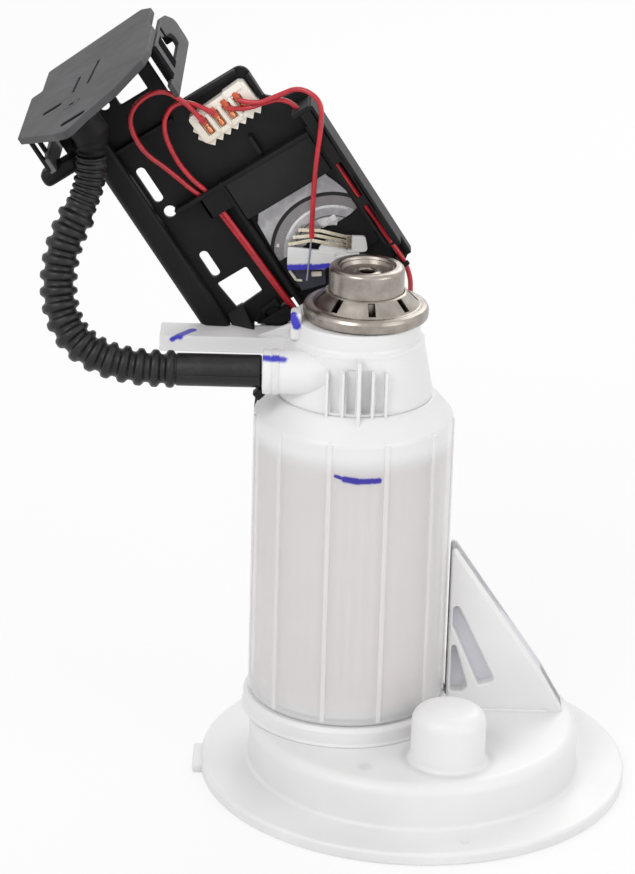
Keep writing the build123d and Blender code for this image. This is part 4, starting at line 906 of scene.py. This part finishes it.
FLOOR_T, WALL_DEPTH = 2.0, 12.6
floor_edge = [
    (LEFT + 4, level_b(LEFT + 4, REST)), (LEFT + 4, TRAY_TOP), (11.5, TRAY_TOP, 1.0), (11.5, 80.0, 3.0),
    (37.8, 80.0, 3.5), (37.8, 67.0, 1.5), (41.7, 63.4, 1.5), (RIGHT - 1, 62.4, 3.5), (RIGHT - 1, -4.0, 0.8),
    (46.0, -7.0, 1.0), (39.0, -1.5, 1.5), (30.0, -4.0, 1.0), (9.6, -4.2, 0.5), (9.6, 2.6, 0.8),
    (3.6, 2.6, 0.8), (3.6, -4.1, 0.5), (-2.0, -3.6), (-7.2, level_b(-7.2, REST), 0.5)]
windows = [
    [(-10.8, 20.1, 0.8), (0.9, 20.1, 0.8), (0.9, 10.0, 0.8), (-9.6, 9.2, 0.8)],
    rectangle(-10.7, -7.5, 22.3, 32.3, 1.536), rectangle(-12.85, -9.55, 54.2, 67.8, 1.584),
    circle(-10.4, 49.7, 2.1), circle(-9.0, 91.8, 1.8), rectangle(-4.3, 6.4, 89.0, 98.0, 0.7),
    circle(*PIVOT, 2.6)]
floor = cut_sheet([floor_edge] + windows, -FLOOR_T, 0.0, 0.35)

beam = cut_sheet([[(LEFT, 2.0, 1.0), (LEFT + 8.5, 2.0, 0.6), (LEFT + 8.5, -5.0, 1.6),
                   (LEFT, -5.0, 3.4)]], 0, TRAY_TOP, 0.5, 3)
beam = trim(onto_tray(beam, FOOT), LEFT, REST)
ridge = cut_sheet([[(-8.0, 1), (-8.0, -5.6, 0.5), (44.3, -6.4, 0.3), (44.3, 1), (8.8, 1),
                    (8.8, -3.9, 0.3), (2.2, -3.9, 0.3), (2.2, 1)]], 48.9, 50.5, 0.3)
ridge = onto_tray(ridge, FOOT)
stop = cut_sheet([[(-6.0, -2.0), (9.6, -2.0), (9.6, 0.2, 1.0), (1.0, 8.8, 1.5), (-6.0, 8.8)]],
                 -13.8, -7.2, 0.5, 3)
stop = trim(onto_tray(stop, STOP), -10, REST)
wedge = trim(block(-8.0, 6.0, -2.2, 2.0, -2.0, 3.6), 0, REST + 0.6)
knuckle = ring_on_pin(4.4, -4.8, 1.8)
strap = cut_sheet([[(-1.0, -4.2), (3.0, -3.4, 0.5), (3.8, 6.0, 0.8), (-3.5, 5.0, 0.8)],
                   circle(0, 0, 4.0)], -2.0, 1.8, 0.3)
lip = cut_sheet([[(50.6, 4.2), (47.3, 4.2, 0.6), (46.1, 6.2, 0.6), (46.1, 57.9), (50.6, 57.9)],
                 rectangle(47.0, 49.1, 4.8, 20.5, 0.5), rectangle(47.0, 49.1, 24.0, 37.5, 0.5)],
                WALL_DEPTH - 1.5, WALL_DEPTH, 0.35)
tray = join(
    floor, beam, ridge, stop, knuckle, strap, lip,
    # deep right wall and the wall that ends it
    block(RIGHT - 2, RIGHT, 3.2, 58.9, -FLOOR_T, WALL_DEPTH, 0.5, 3),
    block(43.5, 50.3, 57.8, 59.4, -1, WALL_DEPTH),
    block(RIGHT - 1.8, RIGHT, -3.6, 4.0, -FLOOR_T, 4.6, 0.5, 3), wedge,
    # walls of the sender's cell
    block(9.6, 11.0, -2.0, 50.9, -1, 5.6, 0.35), block(44.3, 45.7, 10.0, 52.2, -1, 6.4, 0.35),
    # bridge over the wire channel
    block(0.8, 2.2, 41.4, 49.4, -1, 5.2, 0.35), block(0.8, 10.0, 41.4, 49.4, 3.9, 5.2, 0.35),
    # rims and ribs of the upper cell
    block(15.0, 34.3, 78.4, 80.0, -1, 2.6), block(36.2, 37.8, 67.5, 76.5, -1, 2.6),
    block(26.0, 27.4, 51.6, 58.6, -1, 4.0), block(-14.5, 8.0, 76.0, 77.4, -1, 3.0),
    block(-14.3, 11.2, 98.8, 100.2, -1, 2.4))
put(tray, "tray_body", TRAY, "tray", BLACK, "sender_tray", angle=32)

# ------------------------ foot
plate_edge = [(13.3, 48.2, 1.0), (9.0, 54.9, 1.5), (-28.3, 45.4, 1.5), (-28.6, 21.4, 0.8), (-32.8, 20.5, 1.5),
              (-33.3, -26.2, 1.5), (-16.5, -52.0, 3.0), (-11.5, -57.5, 2.0), (-5.6, -49.0, 3.0),
              (4.8, -38.9, 3.0), (14.0, -21.6, 3.0), (15.8, -12.0, 3.0), (15.9, 18.0, 3.0),
              (13.4, 29.0, 3.0)]
plate = cut_sheet([plate_edge, rectangle(-24.6, -17.4, -16.2, -12.6, 1.4),
                   rectangle(-14.8, -5.8, -47.0, -42.9, 1.4), circle(*JET, 3.02)],
                  TRAY_TOP, PLATE_TOP, 0.45, 3)
for a, behind, half, turn in ((-12.7, -0.5, 8.4, -5), (-6.4, 3.6, 12.5, -6)):
    groove = turn_about(block(-0.6, 0.6, -half, half, PLATE_TOP - 0.9, PLATE_TOP + 1.2, 0.15), turn)
    groove.location = (a, behind, 0)
    plate = cut_away(plate, groove)
put(plate, "foot_floor_plate", FOOT, "tray", GREY, "foot_plate", angle=32)

# right wall under the plate: grey frame with two windows, and the dark bars in them, painted flat black for
# the shade on them, with two black liners that paint the shade on the frame's inner face and under the plate
GUARD_IN, GUARD_OUT = 14.8, 16.6
wall = cut_sheet([[(-13.3, 84.2, 1.0), (56.0, 84.2, 3.0), (56.0, 92.5, 2.0), (53.5, 94.9, 4.0),
                   (45.0, 98.6, 5.0), (36.0, 100.2, 3.0), (-7.4, 100.2, 0.4), (-7.4, 89.4, 0.6),
                   (-13.3, 89.2, 0.8)],
                  [(6.0, 89.2, 0.8), (38.8, 89.2, 2.0), (37.8, 92.4, 2.0), (34.6, 94.4, 3.0),
                   (19.0, 97.4, 2.0), (15.5, 98.8, 0.8), (6.0, 98.8, 0.8)],
                  rectangle(-6.4, -1.0, 89.2, 98.8, 0.6)], GUARD_IN, GUARD_OUT, 0.35, 3)
put(wall, "foot_wall_right", GUARD, "tray", GREY, "foot_guard_right", angle=32)
bars = join(block(5.8, 14.8, 88.9, 99.2, GUARD_IN - 0.3, GUARD_OUT + 0.15, 0.4, 3),
            block(-7.7, -0.8, 88.8, 100.3, GUARD_IN - 0.3, GUARD_OUT + 0.2, 0.4, 3),
            # black liners: painted shade on the frame's inner face beside the window, and a painted shadow
            # under the plate
            block(37.6, 40.0, 90.8, 94.5, GUARD_IN - 2.3, GUARD_IN + 0.6, 0.5),
            block(21.8, 25.4, 95.8, 99.8, GUARD_OUT - 1.0, GUARD_OUT + 0.15, 0.3))
put(bars, "foot_bars_and_shade_right", GUARD, "tray", PAINTED_SHADE, "foot_guard_right", slot="black_moulding", angle=32)

# left wall: grey band on dark bars, with the round rail that the tray's beam ends in; the band is the plate's
# grey moulding painted paler, as painted light on its face that is turned from the lamps
band = block(-31.5, -29.3, 86.1, 91.4, -20.0, 22.6, 0.5, 3)
put(band, "foot_band_left", TRAY, "tray", LIT_BAND_GREY, "foot_guard_left", slot="grey_moulding", angle=32)
rail = join(block(-36.6, -22.7, 81.4, 87.2, 10.4, 18.4, 2.2, 4),
            block(-28.5, -22.7, 84.0, TRAY_TOP, -2.0, 0.0),
            block(-24.5, -22.7, 84.0, 88.0, -2.0, 12.0),
            *[block(-31.9, -30.7, 87.0, 100.3, w - 1.5, w + 1.5) for w in (21.6, 11.2, -2.5, -13.0)])
put(rail, "foot_bars_left", TRAY, "tray", BLACK, "foot_guard_left", angle=32)

# jet pump: chamber under the plate, arm to the tray's floor, and the plumb spigot; the flat black floors in
# the plate's slots beside it are painted shade
chamber = turned([(0, 85.0), (3.4, 86.2, 1.5), (6.0, 90.4, 1.5), (6.0, 97.6, 0.3), (6.8, 98.2, 0.3),
                  (6.8, TRAY_TOP), (0, TRAY_TOP)], *JET, 48)
chamber = join(chamber, block(-13.8, -9.8, -24.0, 0.0, 93.0, 99.2, 0.5, 3))
put(chamber, "jet_chamber", FOOT, "tray", BLACK, "jet_pump")
slot_shade_fills = join(block(-24.9, -17.1, -16.5, -12.3, TRAY_TOP - 0.6, PLATE_TOP - 0.25, 0.2),
                block(-15.1, -5.5, -47.3, -42.6, TRAY_TOP - 0.6, PLATE_TOP - 0.25, 0.2))
put(slot_shade_fills, "foot_slot_painted_shade", FOOT, "tray", PAINTED_SHADE, slot="black_moulding")
spigot = turned([(0, 212.0), (4.2, 212.0, 0.3), (5.0, 213.2, 0.2), (4.4, 214.0, 0.2), (4.4, 214.4, 0.2),
                 (5.0, 215.6, 0.3), (5.0, 221.0), (0, 221.0)], *HOSE_TOP, 48)
put(spigot, "jet_spigot", UPRIGHT, "tray", BLACK, "jet_pump")

# ------------------------ level sender
BOARD_LOW, BOARD_HIGH = 1.2, 1.9                        # faces of the board, in front of the tray
BOARD_NOTCH = 9.2
SIDE_0, SIDE_1, ROOF, END = 11.15, 44.15, 34.9, 50.4     # the carrier's sides, raised cover and end


def about_pivot(radius, turns):
    """Points of an arc about the sender's pivot, at given turns in degrees."""
    return [(PIVOT[0] + radius * cos(radians(turn)), PIVOT[1] + radius * sin(radians(turn)))
            for turn in turns]


carrier = join(
    cut_sheet([rectangle(SIDE_0, SIDE_1, 5.0, END, 0.8), circle(*PIVOT, 4.1, 40)], 0, BOARD_LOW, 0.2),
    block(SIDE_0, SIDE_1, ROOF, END, 4.4, 5.8, 0.6, 3), block(SIDE_0, SIDE_0 + 1.6, ROOF, END, 0.6, 5.6),
    block(SIDE_1 - 1.6, SIDE_1, ROOF, END, 0.6, 5.6),
    block(SIDE_0, SIDE_1, END - 2.5, END, 0.6, 5.6),
    block(13.4, 16.4, 36.2, 36.9, 5.4, 6.1, 0.2), block(39.0, 42.0, 36.2, 36.9, 5.4, 6.1, 0.2))
put(carrier, "sender_carrier_body", TRAY, "tray", DARK_CARRIER, "sender_carrier", angle=32)

board = cut_sheet([[(11.6, 16.2, 0.6), (20.4, 16.5), *about_pivot(BOARD_NOTCH, range(132, 56, -6)),
                    (40.4, 17.8), (44.0, 18.6, 0.5), (43.9, 25.0, 0.8), (42.6, 29.4, 0.8), (41.0, 33.4),
                    (41.0, 42.0), (14.6, 42.0), (14.6, 34.0), (12.6, 31.4, 0.6)]],
                  BOARD_LOW, BOARD_HIGH, 0.12)
put(board, "sender_board_plate", TRAY, "tray", BOARD, "sender_board")


def arc_strip(r0, r1, start, end, w1):
    """A thin printed strip bent about the sender's pivot."""
    turns = [start + (end - start) * i / 24 for i in range(25)]
    loop = about_pivot(r1, turns) + about_pivot(r0, reversed(turns))
    return cut_sheet([loop], BOARD_HIGH - 0.02, w1, 0.05, 1)


tracks = join(arc_strip(15.5, 16.4, 40, 132, 2.02), arc_strip(9.4, 12.2, 50, 84, 2.0),
              arc_strip(18.1, 19.0, 139.5, 143.0, 2.04))
put(tracks, "sender_track_strips", TRAY, "tray", SILVER, "sender_tracks")

hub = turned([(0, -18.5), (2.5, -18.5, 0.3), (2.5, 2.4), (5.0, 2.4, 0.3), (5.0, 3.6, 0.4), (0, 3.6)],
             *PIVOT, 48)
tail = cut_sheet([[(17.2, 19.8, 0.8), (21.4, 16.4, 0.5), (29.6, 9.6, 0.5), (27.4, 6.2, 0.5),
                   (23.4, 6.6, 0.5), (12.5, 12.9, 0.8)]], 2.8, 4.3, 0.3, 3)
root = cut_sheet([[(25.0, 10.0, 1.0), (31.6, 7.4, 1.0), (36.5, 6.4, 1.0), (36.0, 4.4, 1.0),
                   (25.0, 5.6, 1.0)]], 2.7, 3.9, 0.3)
cap = cut_sheet([[(36.3, 12.4, 0.8), (41.2, 9.2, 1.2), (39.0, 4.2, 1.2), (32.8, 7.4, 0.8)]],
                2.7, 4.3, 0.4, 3)
put(join(hub, tail, root, cap), "lever_hub_body", TRAY, "lever", HUB_WHITE, "lever_hub")


def bar(start, end, half, w0, w1, edge=0.1):
    """A flat bar between two points of the tray's face."""
    a, b = end[0] - start[0], end[1] - start[1]
    piece = turn_about(block(0, hypot(a, b), -half, half, w0, w1, edge), degrees(atan2(b, a)))
    piece.location = (*start, 0)
    return piece


# three sprung strips, each bent at its knee and at its tip, and the bar that holds them
strips = []
for root, knee, tip in (((36.2, 11.9), (29.6, 18.8), (24.2, 22.4)),
                        ((35.4, 10.5), (27.4, 18.3), (21.4, 21.2)),
                        ((34.4, 9.2), (25.2, 17.6), (18.8, 20.0))):
    strips += [bar(root, knee, 0.6, 4.3, 4.6), bar(knee, tip, 0.6, 3.9, 4.5),
               bar(tip, (tip[0] - 1, tip[1] + 0.4), 0.6, 2.1, 4.3)]
strips.append(bar((34.0, 8.4), (36.8, 12.6), 0.9, 4.25, 4.7))
put(join(*strips), "wiper_strips", TRAY, "lever", FINGER, "wiper_fingers")
strand = join(block(-0.28, 0.28, 0.0, 7.0, 4.3, 4.8, 0.2), block(-0.28, 0.28, -8.6, 0.2, 4.3, 4.75, 0.2))
turn_about(strand, -38.0)
strand.location = (21.6, 13.2, 0)
put(strand, "wiper_strand", TRAY, "lever", GREY_WIRE, slot="finger_metal")
catch = join(bar((12.9, 12.0), (13.0, 7.8), 0.45, 1.6, 2.6, 0.2),
             bar((13.0, 7.8), (14.6, 6.6), 0.4, 1.6, 2.4, 0.2),
             bar((18.4, 6.9), (21.4, 5.2), 0.9, 1.4, 2.2, 0.3))
put(catch, "carrier_catch", TRAY, "tray", IVORY, slot="element_plastic")
apron = cut_sheet([[(12.4, 12.6), (23.5, 6.4), (20.5, 1.2), (12.4, 3.4)]], 0.3, 1.5, 0.3)
put(apron, "carrier_apron", TRAY, "tray", SLATE, slot="dark_carrier")

tabs = join(*[block(a - 1.2, a + 1.2, 18.6, 20.8, BOARD_HIGH + 0.05, 2.5, 0.25, 3) for a in (31.4, 35.0)])
put(tabs, "sender_solder_tabs", TRAY, "tray", SILVER, "sender_terminals", slot="terminal_brass")

# ------------------------ plug
PLUG_AT, PLUG_TURN, PLUG_HALF, PLUG_WAYS = (24.25, 70.0, 0), radians(4), 11.25, 4
PLUG = TRAY @ Matrix.Translation(PLUG_AT) @ Matrix.Rotation(PLUG_TURN, 4, "Z")
WAY_PITCH, FIRST_WAY = 2 * PLUG_HALF / 4.9, 0.87
ways = [-PLUG_HALF + WAY_PITCH * (i + FIRST_WAY) for i in range(PLUG_WAYS)]
shell = cut_sheet([rectangle(-PLUG_HALF, PLUG_HALF, -5.4, 5.4, 1.4)], 0.0, 5.0, 0.35, 3)
shell = cut_away(shell, *[block(x - 1.5, x + 1.5, -3.5, 2.5, 3.4, 7.0, 0.2) for x in ways])
comb = [(11.0, -4.6), (11.0, -5.6)]
for i in range(7):
    comb += [(9.4 - 3.1 * i, -7.4, 0.2), (8.0 - 3.1 * i, -5.7)]
comb += [(-11.6, -4.0), (-12.6, -2.4, 0.2), (-11.4, -1.2), (-12.4, 0.6, 0.2), (-11.0, 2.0), (-10.0, -4.0)]
lock = block(3.2, 10.2, 3.4, 6.0, 0.6, 5.7, 0.5, 3)
lands = [block(x + 1.62, x + 2.9, -4.4, 3.4, 4.8, 5.7, 0.25) for x in ways[:3]]
put(join(shell, cut_sheet([comb], 0.4, 4.0, 0.15), lock, *lands), "plug_housing", PLUG, "tray", IVORY,
    "wire_connector", angle=30)


def on_way(profile, x, y, z):
    """A small turned piece that lies in one way of the plug."""
    piece = turn_about(turn_about(turned(profile, 0, 0, 24), 90, "Y"), 90)
    piece.location = (x, y, z)
    return piece


barrel = [(0, -2.7), (0.75, -2.7, 0.2), (0.95, -2.0, 0.2), (0.95, -0.4, 0.2), (0.7, 0, 0.1), (0.95, 0.5, 0.2),
          (0.95, 2.4, 0.2), (0, 2.4)]
sleeve = [(0, 0), (1.0, 0, 0.2), (1.15, 1.4, 0.2), (0.95, 3.6, 0.2), (0, 3.6)]
put(join(*[on_way(barrel, x, -0.6, 4.4) for x in ways]), "plug_crimps", PLUG, "tray", COPPER,
    "connector_terminals", slot="terminal_brass")
put(join(*[on_way(sleeve, x, 0.4, 4.9) for x in ways]), "plug_wire_ends", PLUG, "tray", ORANGE,
    slot="wire_red")

hook = join(block(45.2, 46.8, -6.0, -1.5, 0.0, 7.6, 0.4, 3), block(45.2, 49.2, -6.0, -4.4, 6.2, 7.6, 0.4, 3))
put(hook, "wire_hook_body", TRAY, "tray", BLACK, "wire_hook")

# ------------------------ solids that stay as they are
KEPT = {
    "outlet_nipple": COVER_WHITE, "cable_socket": BLACK, "socket_terminals": BRASS,
    "pleated_element": PAPER, "element_bottom_cap": ELEMENT_PLASTIC, "element_top_cap": ELEMENT_PLASTIC,
    "element_core": ELEMENT_PLASTIC, "hinge_pin": BLACK, "regulator_body": STEEL,
    "regulator_seal": SEAL, "regulator_diaphragm": SEAL, "regulator_spring": PLAIN_STEEL,
    "regulator_valve": PLAIN_STEEL, "jet_nozzle": GREY, "float_rod": PLAIN_STEEL,
    "sender_float": FOAM}
for node, material in KEPT.items():
    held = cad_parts[node]
    for at in range(max(1, len(held.material_slots))):
        if not held.material_slots:
            held.data.materials.append(material)
        held.material_slots[at].material = material

# ------------------------ floor, background and lamps
bpy.ops.object.select_all(action="DESELECT")
GROUND_SIZE, GROUND_Z = 8, -0.0004                      # a hair under the cover, so that they don't meet
bpy.ops.mesh.primitive_plane_add(size=GROUND_SIZE, location=(0, 0, GROUND_Z))
ground = bpy.context.object
ground.name = "ground"
ground.data.materials.append(bpy.data.materials.new("pale_ground"))
BACKGROUND, AMBIENT = 0.8, 0.66                         # share of glow in the floor, light of the world
pale = Nodes(ground.data.materials[0])
pale.tree.nodes.clear()
lit = pale.node("ShaderNodeBsdfDiffuse", {}, (0.88, 0.88, 0.88))
glow = pale.node("ShaderNodeEmission", {}, Strength=1.0)
above = pale.node("ShaderNodeMixShader", {}, pale.looked_at() * BACKGROUND, lit, glow)
from_below = pale.node("ShaderNodeNewGeometry", {}, out="Backfacing")
clear = pale.node("ShaderNodeBsdfTransparent", {})
pale.node("ShaderNodeOutputMaterial", {}, pale.node("ShaderNodeMixShader", {}, from_below, above, clear))

bpy.context.scene.world = bpy.data.worlds.new("studio")
studio = Nodes(bpy.context.scene.world)
studio.tree.nodes.clear()
brightness = studio.node("ShaderNodeMapRange", {}, studio.looked_at(), 0.0, 1.0, AMBIENT, 1.0)
studio.node("ShaderNodeOutputWorld", {}, studio.node("ShaderNodeBackground", {}, (1, 1, 1), brightness))


def lamp(name, spot, aim, size, power):
    """A soft square lamp that faces a point."""
    direction = Vector(aim) - Vector(spot)
    bpy.ops.object.light_add(type="AREA", location=spot,
                             rotation=direction.to_track_quat("-Z", "Y").to_euler())
    made = bpy.context.object
    made.name = name
    made.data.size = size
    made.data.energy = power


lamp("key", (-0.75, -0.95, 1.15), (-0.03, 0, 0.13), 0.7, 8)
lamp("fill", (0.95, -0.7, 0.6), (-0.02, 0, 0.12), 0.7, 3.2)
lamp("back", (0.3, 1.0, 0.9), (-0.03, 0, 0.15), 0.8, 4.5)
